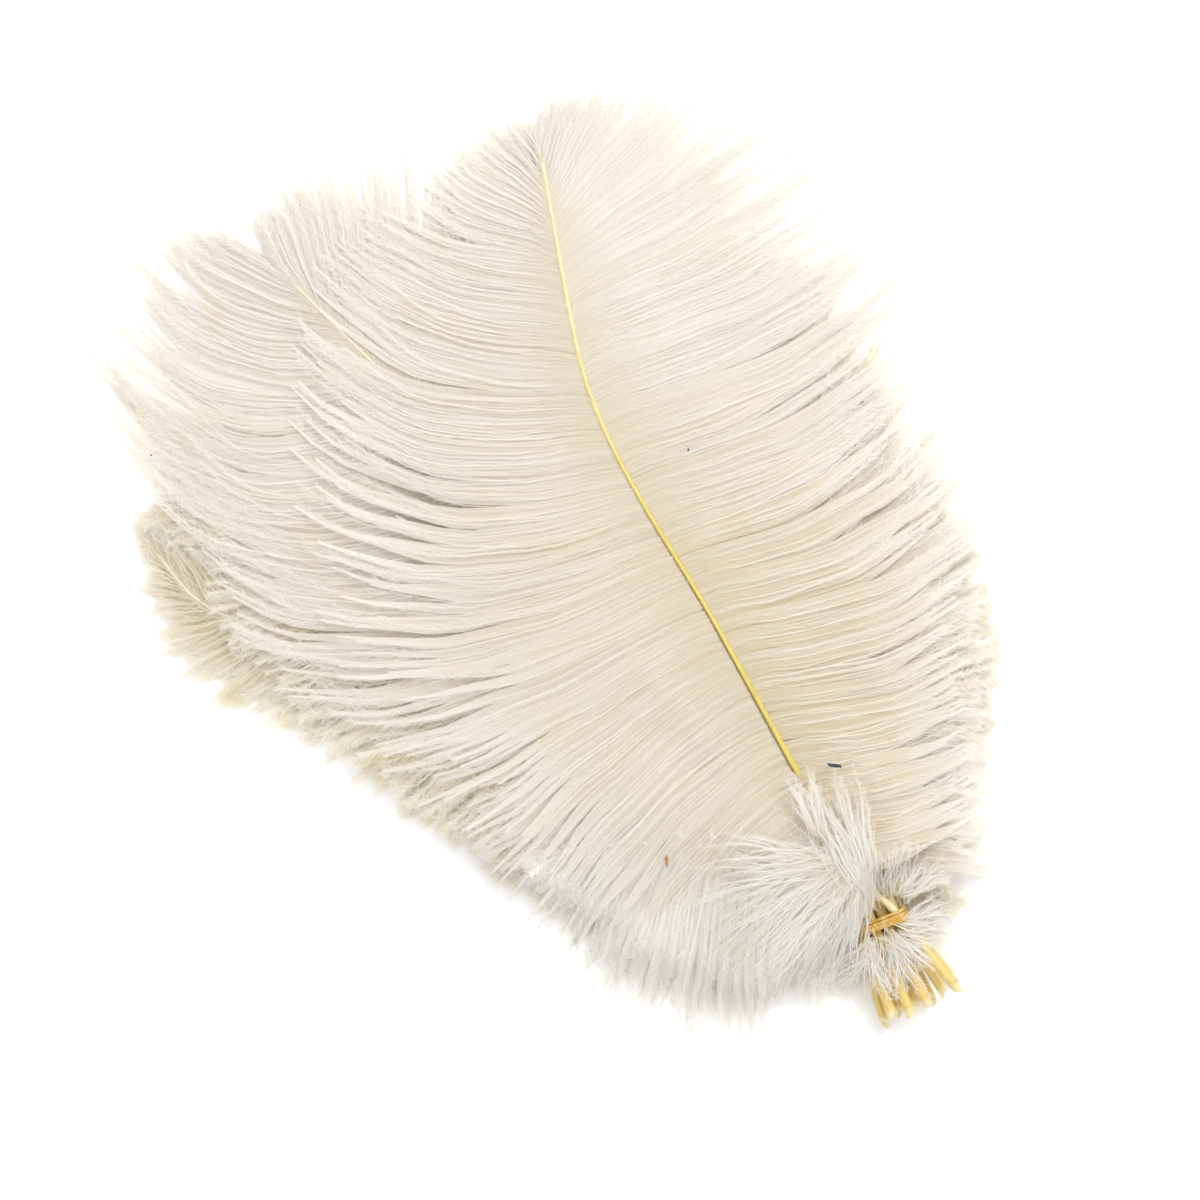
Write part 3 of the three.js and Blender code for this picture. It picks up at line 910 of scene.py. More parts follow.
class PlumeMaker:
    """Builds a plume's mesh from its plan and its place in the pile."""

    SHAFT_PITCH = 3.0
    SHAFT_SIDES = 14
    HOLLOW = 0.7  # the bore of a cut quill, as a share of its radius
    HOLLOW_DEPTH = 14.0
    SLANT = 1.6  # how far the cut end slants
    SHAFT_BAND = (0.01, 0.09)
    STRAND_BAND = (0.10, 0.995)
    UNDER = 0.5  # how far the even barbs lie under the rest
    UNDER_STEP = 2
    UNDER_WIDTH = 4.2
    STEM_WIDTH = 0.34
    SLIM = 0.9  # a scale of the shaft past its quill
    SLANT_END = 6.0
    CROWDING = 0.35  # how much closer the barbs stand towards the tip
    RAGGED_LIMITS = (-2.0, 1.1)
    LOOSE_TIPS = 0.75  # how much less the barbs are drawn together at their tips
    LOCK_PULL = 0.45
    STRAND_PULL = 1.7
    WAVE_LENGTH = 44.0
    CRIMP = 0.36
    CRIMP_LENGTH = 4.2
    LOCK_RELIEF = 0.22
    BARB_RELIEF = 0.5
    VANE_SHARE = 0.45  # each vane's share of the strands' band in the bake map; tufts take the rest
    TUFT_BLADE = (2.8, 2.2)
    TUFT_SPLAY = (26.0, 42.0)

    def __init__(self, pile: Pile, number: int) -> None:
        """Takes one plume of the pile."""
        self.pile = pile
        self.number = number
        self.plume = pile.plumes[number]
        self.rng = np.random.default_rng(SEED + number)

    # -- shaft

    def shaft_path(self, distance: Array) -> Array:
        """Points of the shaft's middle at distances along it."""
        return self.pile.shaft(self.number, distance)

    def slanted(self, distance: Array, heading: Array) -> Array:
        """How far the slant of the cut moves the points of rings at distances from it."""
        angle = np.arange(self.SHAFT_SIDES) / self.SHAFT_SIDES * 2 * math.pi
        lean = np.cos(angle + 0.6 * self.number) * self.SLANT
        slant = 1 - smooth(0, self.SLANT_END, distance)
        return (slant[:, None] * lean).reshape(-1, 1) * heading

    def shaft(self) -> Skin:
        """The quill and the shaft, with a bore at the cut end and a groove along the left."""
        line, sides = self.plume.line, self.SHAFT_SIDES
        count = int(line.length / self.SHAFT_PITCH)
        distance = np.linspace(0, line.length, count)
        centre = self.shaft_path(distance)
        part = (distance - line.to_tie) / (line.length - line.to_tie)
        radius = self.plume.diameter(distance) / 2
        radius = radius * (1 - 0.6 * smooth(line.length - 3, line.length, distance))
        radius = radius * mix(1.0, self.SLIM, smooth(0.12, 0.25, part))
        radius = radius * mix(1.0, self.plume.looks.broad, smooth(0.35, 0.95, part))
        angle = np.arange(sides) / sides * 2 * math.pi
        in_vane = smooth(self.plume.vane - 12, self.plume.vane + 20, distance - line.to_tie)[:, None]
        flat = 0.12 * np.sin(angle) ** 2 + 0.16 * np.exp(-(((angle - 2.25) / 0.35) ** 2))
        points, faces, share = tube(centre, radius, sides, 1 - in_vane * flat)
        heading = unit(centre[0] - centre[1])
        bore = np.linspace(0, self.HOLLOW_DEPTH, 5)
        bore_radius = self.plume.diameter(bore) / 2 * self.HOLLOW
        inner, inner_faces, inner_share = tube(self.shaft_path(bore), bore_radius, sides)
        start = len(points)
        points = np.vstack([points + self.slanted(distance, heading), inner + self.slanted(bore, heading)])
        ring = np.arange(sides)
        after = (ring + 1) % sides
        rim = [np.stack([ring, after, start + after], 1), np.stack([ring, start + after, start + ring], 1)]
        pith = fan(len(points) - sides, sides)
        cap = fan((count - 1) * sides, sides)
        faces = np.vstack([faces, inner_faces[:, ::-1] + start, *rim, pith, cap[:, ::-1]])
        along = np.concatenate([share[:, 0], inner_share[:, 0] * 0.02])
        around = np.concatenate([share[:, 1], inner_share[:, 1]])
        lip = np.concatenate([np.zeros(start), np.ones(len(inner))])
        lip[:sides] = 1
        attribute = np.stack([along, around, lip], 1)
        fold = np.abs(2 * around - 1)
        spots = np.stack([mix(0.01, 0.99, along), mix(*self.SHAFT_BAND, fold)], 1)
        return Skin(points, faces, np.zeros_like(points), attribute, spots, 1, True)

    # -- barbs

    def grouped(self, count: int, sizes: tuple[int, int]) -> Array:
        """A group number for each of count barbs, in groups of random size."""
        drawn = self.rng.integers(sizes[0], sizes[1] + 1, count)
        return np.repeat(np.arange(count), drawn)[:count]

    def drawn_together(self, plan: Array, group: Array, pull: Array) -> Array:
        """Barbs moved towards the middle of their group, by a pull at each point."""
        size = np.bincount(group)
        middle = np.add.reduceat(plan, starts(size), 0) / size[:, None, None]
        strength = self.rng.uniform(0.45, 1.25, len(size))[group]
        return plan + (middle[group] - plan) * np.clip(pull * strength[:, None], 0, 0.9)[..., None]

    def side_strands(self, side: Side) -> tuple[Strands, Strands]:
        """The barbs of one side, laid over their bed.

        Returns:
            The barbs that are drawn together in strands and locks, and the even ones under them.
        """
        plume, looks, rng = self.plume, self.plume.looks, self.rng
        vane, start = plume.side(side), plume.first()
        span = (plume.line.length - plume.line.to_tie - plume.vane) * (1 - start)
        count = int(span / looks.pitch)
        even = (np.arange(count) + rng.uniform(0.2, 0.8, count)) / count
        t = mix(start, 1.0, mix(even, 1 - (1 - even) ** 2, self.CROWDING))
        strand, lock = self.grouped(count, looks.strands), self.grouped(count, looks.locks)
        base = np.clip(t / min(start, -1e-6), 0, 1)
        ragged = rng.normal(0, 0.75, count) + rng.normal(0, 0.5, count)[strand]
        ragged = np.clip(ragged + rng.normal(0, 0.22, count)[lock], *self.RAGGED_LIMITS)
        reach = mix(1.0, looks.base_reach, base) * (1 + looks.ragged * (1 + base) * ragged)
        even_plan = plume.barbs(side, t, reach)
        share = np.linspace(0, 1, BARB_STEPS + 1)
        pull = looks.clump * (1 - self.LOOSE_TIPS * smooth(0.45, 1.0, share))
        plan = self.drawn_together(even_plan, lock, self.LOCK_PULL * pull * smooth(0.02, 0.4, share))
        plan = self.drawn_together(plan, strand, self.STRAND_PULL * pull * smooth(0.02, 0.2, share))
        ahead = unit(np.gradient(plan, axis=1))
        normal = np.stack([-ahead[..., 1], ahead[..., 0]], -1)
        length = (station(vane.reach, t) * reach)[:, None] * share
        wave, fine = self.sideways(even, lock, length, share)
        plan = plan + normal * (wave + fine)[..., None]
        even_plan = even_plan + normal * wave[..., None]
        hump = (self.hump(strand) * 0.6 + self.hump(lock) * 0.4)[:, None]
        height, even_height = self.heights(plan, t, lock, hump, share)
        tint = looks.tone + 0.2 * smooth(0.2, 0.9, t) + rng.normal(0, 0.07, count)[lock]
        tint = tint + rng.normal(0, 0.13, count)[strand]
        tint = np.clip(tint + rng.normal(0, 0.13, count), 0, 1)
        # painted shade: the colour darkens at the edges of strands and locks, and more near the barbs' roots,
        # where shade falls between them; the vane's shade pair scales it from base to tip
        pale = mix(*vane.shade, smooth(0.15, 0.9, t))[:, None]
        depth = pale * looks.depth * (1 - hump) * mix(1.0, 0.45, smooth(0.25, 0.8, share))
        seen = np.clip(self.pile.read(self.pile.above[self.number], plan[..., 0], plan[..., 1]), 0.3, 1)
        kept = slice(None, None, self.UNDER_STEP)
        under = np.concatenate([even_plan, even_height[..., None]], -1)[kept]
        # the even barbs under the strands take extra painted shade, so the gaps between strands read darker
        shade = np.clip(depth[kept] + pale[kept] * looks.gap, 0, 1)
        filler = Strands(under, self.UNDER_WIDTH, tint[kept], shade, seen[kept], 0.0, 0.12)
        paths = np.concatenate([plan, height[..., None]], -1)
        return Strands(paths, self.STEM_WIDTH, tint, depth, seen), filler

    def sideways(self, even: Array, lock: Array, length: Array, share: Array) -> tuple[Array, Array]:
        """How far barbs swing sideways.

        Args:
            even: a share of the vane for each barb.
            lock: the number of its lock.
            length: how far along its barb each point lies, in millimetres.
            share: the same as a share of the barb.

        Returns:
            A wave that a lock shares, and the crimps and strays of single barbs.
        """
        looks, rng, count = self.plume.looks, self.rng, len(even)
        phase = 2 * math.pi * ripple(rng, even, 11) + rng.normal(0, 0.3, count)[lock]
        wave = np.sin(length / self.WAVE_LENGTH * 2 * math.pi + phase[:, None])
        wave = wave * looks.wave * smooth(0.08, 0.55, share)
        crimp = np.sin(length / self.CRIMP_LENGTH * 2 * math.pi + 30 * ripple(rng, even, 60)[:, None])
        crimp = self.CRIMP * crimp * smooth(0.02, 0.08, share) * (1 - smooth(0.3, 0.6, share))
        stray = rng.normal(0, 0.3, (count, 1)) * share + rng.normal(0, 0.05, wave.shape)
        stray = stray + rng.normal(0, 1.6, (count, 1)) * share**2 * looks.fluff
        return wave, crimp + stray

    def heights(
        self, plan: Array, t: Array, lock: Array, hump: Array, share: Array
    ) -> tuple[Array, Array]:
        """Heights of the barbs that form strands, and of the even ones under them."""
        plume, looks, rng, count = self.plume, self.plume.looks, self.rng, len(t)
        x, y = plan[..., 0], plan[..., 1]
        distance = mix(plume.line.to_tie + plume.vane, plume.line.length, t)
        root = self.shaft_path(distance)[:, 2] + 0.15 * plume.diameter(distance)
        bed = self.pile.read(self.pile.beds[self.number], x, y)
        room = self.pile.room(self.number, x, y)
        height = mix(root[:, None], bed + 0.5 * room, smooth(0.0, 0.45, share))
        height = np.maximum(height, bed + 0.2)
        even = height - self.UNDER * smooth(0.0, 0.3, share) - 0.3 * rng.random((count, 1))
        relief = np.minimum(looks.crown, 0.6 * room) * smooth(0.04, 0.3, share)
        height = height + relief * (hump - 0.5)
        height = height + relief * self.LOCK_RELIEF * rng.normal(0, 1, count)[lock][:, None]
        height = height + relief * self.BARB_RELIEF * rng.normal(0, 1, count)[:, None]
        curl_up = rng.exponential(0.9, (count, 1)) * share**3
        height = np.maximum(height + curl_up * looks.fluff, bed + FLOOR_GAP + 0.1)
        return height, np.maximum(even, bed + FLOOR_GAP)

    def hump(self, group: Array) -> Array:
        """How near each barb is to the middle of its group, 0 at the edge to 1."""
        size = np.bincount(group)
        place = (np.arange(len(group)) - starts(size)[group] + 0.5) / size[group]
        return 1 - np.abs(2 * place - 1) ** 2

    def tuft_strands(self, tuft: Tuft) -> Strands:
        """A spray of down barbs."""
        rng, count = self.rng, tuft.count
        spread = rng.uniform(-1, 1, count)
        heading = np.radians(tuft.heading + tuft.spread * spread)
        reach = rng.uniform(*tuft.reach, count)
        share = np.linspace(0, 1, BARB_STEPS + 1)
        bend = np.radians(tuft.bend + tuft.curl * spread + rng.normal(0, 10, count))
        turn = heading[:, None] + bend[:, None] * share[:-1] ** 1.2
        turn = turn + 0.16 * np.sin(share[:-1] * 9 + rng.uniform(0, 6.3, (count, 1)))
        step = (reach / BARB_STEPS)[:, None]
        path = np.cumsum(np.stack([step * np.cos(turn), step * np.sin(turn)], -1), 1)
        offset = rng.normal(0, tuft.width / 2, (count, 2))
        root = np.array(tuft.root) + offset
        plan = np.concatenate([root[:, None], root[:, None] + path], 1)
        arch = tuft.arch * rng.uniform(0.05, 1.2, count)
        top = self.pile.read(self.pile.top, plan[..., 0], plan[..., 1])
        start = np.maximum(top[:, :1], tuft.height)
        sag = np.minimum(start, top + (start - top) * (1 - share) ** 2)
        height = np.maximum(top, sag) + 0.3 + arch[:, None] * np.sin(math.pi * share**0.8)
        tint = np.clip(rng.normal(0.92, 0.06, count), 0, 1)
        # painted shade, strongest at the tuft's root where its barbs crowd together
        depth = np.broadcast_to(0.12 * (1 - share), (count, BARB_STEPS + 1))
        paths = np.concatenate([plan, height[..., None]], -1)
        return Strands(paths, tuft.ribbon, tint, depth, np.ones(paths.shape[:2]))

    def build(self, down: bpy.types.Material, keratin: bpy.types.Material) -> bpy.types.Object:
        """The plume as one piece.

        Args:
            down: the finish of barbs and barbules.
            keratin: the finish of quill and shaft.

        Returns:
            The piece, riding on the bunch in place of its node.
        """
        looks, tufts = self.plume.looks, self.plume.tufts
        cloth = Cloth(self.plume.name + "_feather")
        cloth.add(self.shaft())
        layers = [self.side_strands(side) for side in Side]
        weights = [float((np.diff(run(g.paths)) * g.seen[:, 1:]).sum()) for g, _ in layers]
        low, high = self.STRAND_BAND
        edges = [mix(low, high, self.VANE_SHARE * i) for i in range(3)]
        for i, (group, filler) in enumerate(layers):
            band = (edges[i], edges[i + 1])
            cloth.add(filler.ribbons(self.rng, band))
            cloth.add(group.ribbons(self.rng, band))
            wanted = int(looks.barbules * weights[i] / sum(weights))
            cloth.add(group.barbules(self.rng, band, wanted, looks.blade, looks.splay, 0.24, 0.4))
        for i, tuft in enumerate(tufts):
            spray = self.tuft_strands(tuft)
            start = mix(edges[2], high, i / len(tufts))
            band = (start, start + 0.9 * (high - edges[2]) / len(tufts))
            cloth.add(spray.ribbons(self.rng, band))
            wanted = int(float(run(spray.paths)[:, -1].sum()) * tuft.fullness)
            blades = spray.barbules(self.rng, band, wanted, self.TUFT_BLADE, self.TUFT_SPLAY, 0.2, 0.8)
            cloth.add(blades)
        made = cloth.made([down, keratin])
        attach(made, BODY)
        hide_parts(self.plume.name)
        return made


@dataclass
class ThreadTie:
    """The thread that binds the quills: close turns round the bundle, a knot and two loose ends."""

    turns: int = 7
    radius: float = 0.42
    ply: float = 0.24
    clearance: float = 0.42
    width: float = 4.4
    sides: int = 6
    STEP = 0.55
    TWIST = 1.9  # how long one turn of the plies is

    def outline(self, pile: Pile, grown: float, y: float) -> Array:
        """The bundle's outline where it is tied, as (n, 2) across and up."""
        spots = []
        for k, plume in enumerate(pile.plumes):
            distance = np.array([plume.line.to_tie + y])
            centre = plume.line.at(distance)[0]
            height = pile.height(k, centre[:1], centre[1:])[0]
            around = np.arange(24) / 24 * 2 * math.pi
            radius = plume.diameter(distance)[0] / 2 + grown
            spots.append(np.stack([centre[0] + radius * np.cos(around), height + radius * np.sin(around)], 1))
        return self._hull(np.vstack(spots))

    def _hull(self, spots: Array) -> Array:
        """The convex outline of plan points, counter-clockwise."""
        ordered = sorted(map(tuple, spots))

        def chain(points: list[tuple[float, float]]) -> list[tuple[float, float]]:
            """Half of the outline."""
            kept: list[tuple[float, float]] = []
            for p in points:
                while len(kept) > 1:
                    (ax, ay), (bx, by) = kept[-2:]
                    if (bx - ax) * (p[1] - ay) - (by - ay) * (p[0] - ax) > 1e-9:
                        break
                    kept.pop()
                kept.append(p)
            return kept[:-1]

        return np.array(chain(ordered) + chain(ordered[::-1]))

    def winding(self, pile: Pile) -> Array:
        """The thread's path: up and down the tie's width in a close helix."""
        rng = np.random.default_rng(SEED + 100)
        hull = self.outline(pile, self.clearance + self.radius, 0.0)
        closed = np.vstack([hull, hull[:1]])
        place = run(closed)
        turn = np.linspace(0, self.turns, 90 * self.turns)
        spot = (turn % 1) * place[-1]
        x = np.interp(spot, place, closed[:, 0])
        z = np.interp(spot, place, closed[:, 1])
        y = np.interp(turn, [0, self.turns], [-self.width / 2, self.width / 2])
        y = y + 0.25 * ripple(rng, turn / self.turns, 30)
        return np.stack([x, y, z], 1)

    def build(self, pile: Pile, finish: bpy.types.Material) -> bpy.types.Object:
        """The tie as one piece, riding on the bunch in place of its node."""
        cloth = Cloth("thread_tie_winding")
        path = self.winding(pile)
        self._ply(cloth, path)
        top = path[:, 2].max()
        knot = np.array([-3.2, 0.2, top + 0.2])
        turn = np.linspace(0, 2 * math.pi * 1.6, 60)
        loop = np.stack([1.3 * np.sin(turn), 0.9 * np.sin(2 * turn), 0.35 * np.cos(turn)], 1) + knot
        self._ply(cloth, loop)
        for heading, reach in ((200.0, 15.0), (248.0, 19.0)):
            s = np.linspace(0, 1, 40)[:, None]
            way = np.array([math.cos(math.radians(heading)), math.sin(math.radians(heading)), 0.0])
            bend = np.array([-way[1], way[0], 0.0]) * np.sin(s * 3.4) * 1.6
            fall = np.array([0.0, 0.0, -1.0]) * (s**1.5) * 4.0
            self._ply(cloth, knot + way * reach * s + bend + fall)
        made = cloth.made([finish])
        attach(made, BODY)
        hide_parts("thread_tie")
        return made

    def _ply(self, cloth: Cloth, path: Array) -> None:
        """Adds two plies twisted round a path."""
        length = run(path)
        steps = max(int(length[-1] / self.STEP), 8)
        spot = np.linspace(0, length[-1], steps)
        fine = np.stack([np.interp(spot, length, c) for c in path.T], 1)
        aside, up = beside(unit(np.gradient(fine, axis=0)), (0.0, 0.3, 1.0))
        for start in (0.0, math.pi):
            turn = (start + spot / self.TWIST * 2 * math.pi)[:, None]
            centre = fine + (aside * np.cos(turn) + up * np.sin(turn)) * self.ply * 0.75
            radius = np.full(steps, self.ply)
            radius[0] = radius[-1] = self.ply * 0.3
            points, faces, share = tube(centre, radius, self.sides)
            points[:, 2] = np.maximum(points[:, 2], FLOOR_GAP)
            zero = np.zeros_like(points)
            cloth.add(Skin(points, faces, zero, zero, share, 0, True))


class Surface:
    """The points of finished pieces, to lay small things on."""

    def __init__(self, pieces: list[bpy.types.Object]) -> None:
        """Collects the pieces' points, in millimetres of the plan."""
        found = []
        for piece in pieces:
            flat = np.empty(3 * len(piece.data.vertices), np.float32)
            piece.data.vertices.foreach_get("co", flat)
            found.append(flat.reshape(-1, 3) / METRE - (*PLAN_SHIFT, 0.0))
        self.points = np.vstack(found)

    def top(self, place: tuple[float, float], reach: float) -> float:
        """The height of the highest point within reach of a plan point."""
        near = np.hypot(*(self.points[:, :2] - place).T) < reach
        return float(self.points[near, 2].max())


@dataclass(frozen=True)
class Speck:
    """A speck of dirt: plan point, size along, across and up, heading, and finish."""

    name: str
    place: tuple[float, float]
    size: tuple[float, float, float]
    heading: float
    finish: SpeckFinish
    REACH = 1.0  # how far around its middle the barbs hold it up
    RINGS = 9
    SIDES = 8

    def build(self, surface: Surface) -> bpy.types.Object:
        """A small uneven flake that lies on the barbs."""
        height = surface.top(self.place, self.REACH) + self.size[2] / 2
        rng = np.random.default_rng(SEED + 200 + len(self.name))
        s = np.linspace(-1, 1, self.RINGS)
        body = np.sqrt(np.clip(1 - s**2, 0.02, 1)) * (1 + 0.25 * rng.uniform(-1, 1, self.RINGS))
        long, wide, high = self.size
        centre = np.stack([s * long / 2, 0.12 * long * np.sin(s * 2.4), np.zeros(self.RINGS)], 1)
        points, faces, share = tube(centre, body, self.SIDES)
        points = points * (1.0, wide / 2, high / 2)
        cos, sin = math.cos(math.radians(self.heading)), math.sin(math.radians(self.heading))
        points[:, :2] = points[:, :2] @ np.array([[cos, sin], [-sin, cos]])
        points = points + (*self.place, height)
        ends = [fan(0, self.SIDES), fan((self.RINGS - 1) * self.SIDES, self.SIDES)[:, ::-1]]
        cloth = Cloth(self.name)
        zero = np.zeros_like(points)
        cloth.add(Skin(points, np.vstack([faces, *ends]), zero, zero, share, 0, True))
        made = cloth.made([self.finish.material()])
        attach(made, BODY)
        return made


@dataclass
class Studio:
    """A pale floor, soft light and a camera that looks straight down."""

    view: float = 444.0  # width of the view, in millimetres
    centre: tuple[float, float] = (7.5, 4.1)
    turn: float = -23.58
    lens: float = 110.0
    sensor: float = 36.0
    FLOOR = 3.0  # half the floor's side, in metres
    DAYLIGHT = 0.895

    def floor(self) -> None:
        """A plain pale floor."""
        mesh = bpy.data.meshes.new("studio_floor")
        corners = [(x * self.FLOOR, y * self.FLOOR, 0) for x, y in ((-1, -1), (1, -1), (1, 1), (-1, 1))]
        mesh.from_pydata(corners, [], [(0, 1, 2, 3)])
        r = Recipe("studio_paper")
        grain = r.noise(60.0, 2.0)
        inputs = {"Base Color": srgb(251, 251, 251), "Roughness": 0.9 + grain * 0.05}
        mesh.materials.append(r.surface(r.node("ShaderNodeBsdfPrincipled", {}, inputs)))
        made = placed("studio_floor", mesh)

    def lamp(self, name: str, place: Span, size: float, power: float, colour: Span) -> None:
        """A soft square lamp aimed at the bunch."""
        data = bpy.data.lights.new(name, "AREA")
        data.shape = "SQUARE"
        data.size = size
        data.energy = power
        data.color = colour
        made = placed(name, data)
        made.location = place
        made.rotation_euler = (-made.location).to_track_quat("-Z", "Y").to_euler()

    def camera(self) -> None:
        """The camera, straight above."""
        data = bpy.data.cameras.new("camera")
        data.lens = self.lens
        data.sensor_width = self.sensor
        data.clip_start = 0.05
        data.clip_end = 20.0
        distance = self.view * METRE * self.lens / self.sensor
        made = placed("camera", data)
        made.matrix_world = Matrix.Translation(
            (self.centre[0] * METRE, self.centre[1] * METRE, distance + 0.012)
        ) @ Matrix.Rotation(math.radians(self.turn), 4, "Z")
        bpy.context.scene.camera = made

    def build(self) -> None:
        """Sets up the whole studio."""
        self.floor()
        self.camera()
        self.lamp("key", (1.15, 0.6, 1.3), 1.0, 18.0, (1.0, 0.99, 0.975))
        self.lamp("fill", (-1.2, -0.5, 1.3), 1.4, 4.5, (0.97, 0.985, 1.0))
        world = bpy.data.worlds.new("studio_air")
        bpy.context.scene.world = world
        world.use_nodes = True
        air = world.node_tree.nodes["Background"]
        air.inputs["Color"].default_value = (1.0, 1.0, 1.0, 1.0)
        air.inputs["Strength"].default_value = self.DAYLIGHT
        settings = bpy.context.scene.view_settings
        settings.view_transform = "Standard"
        settings.look = "None"
        settings.exposure = 0.0


# ---- The ten plumes, lowest first -----------------------------------------------------------------

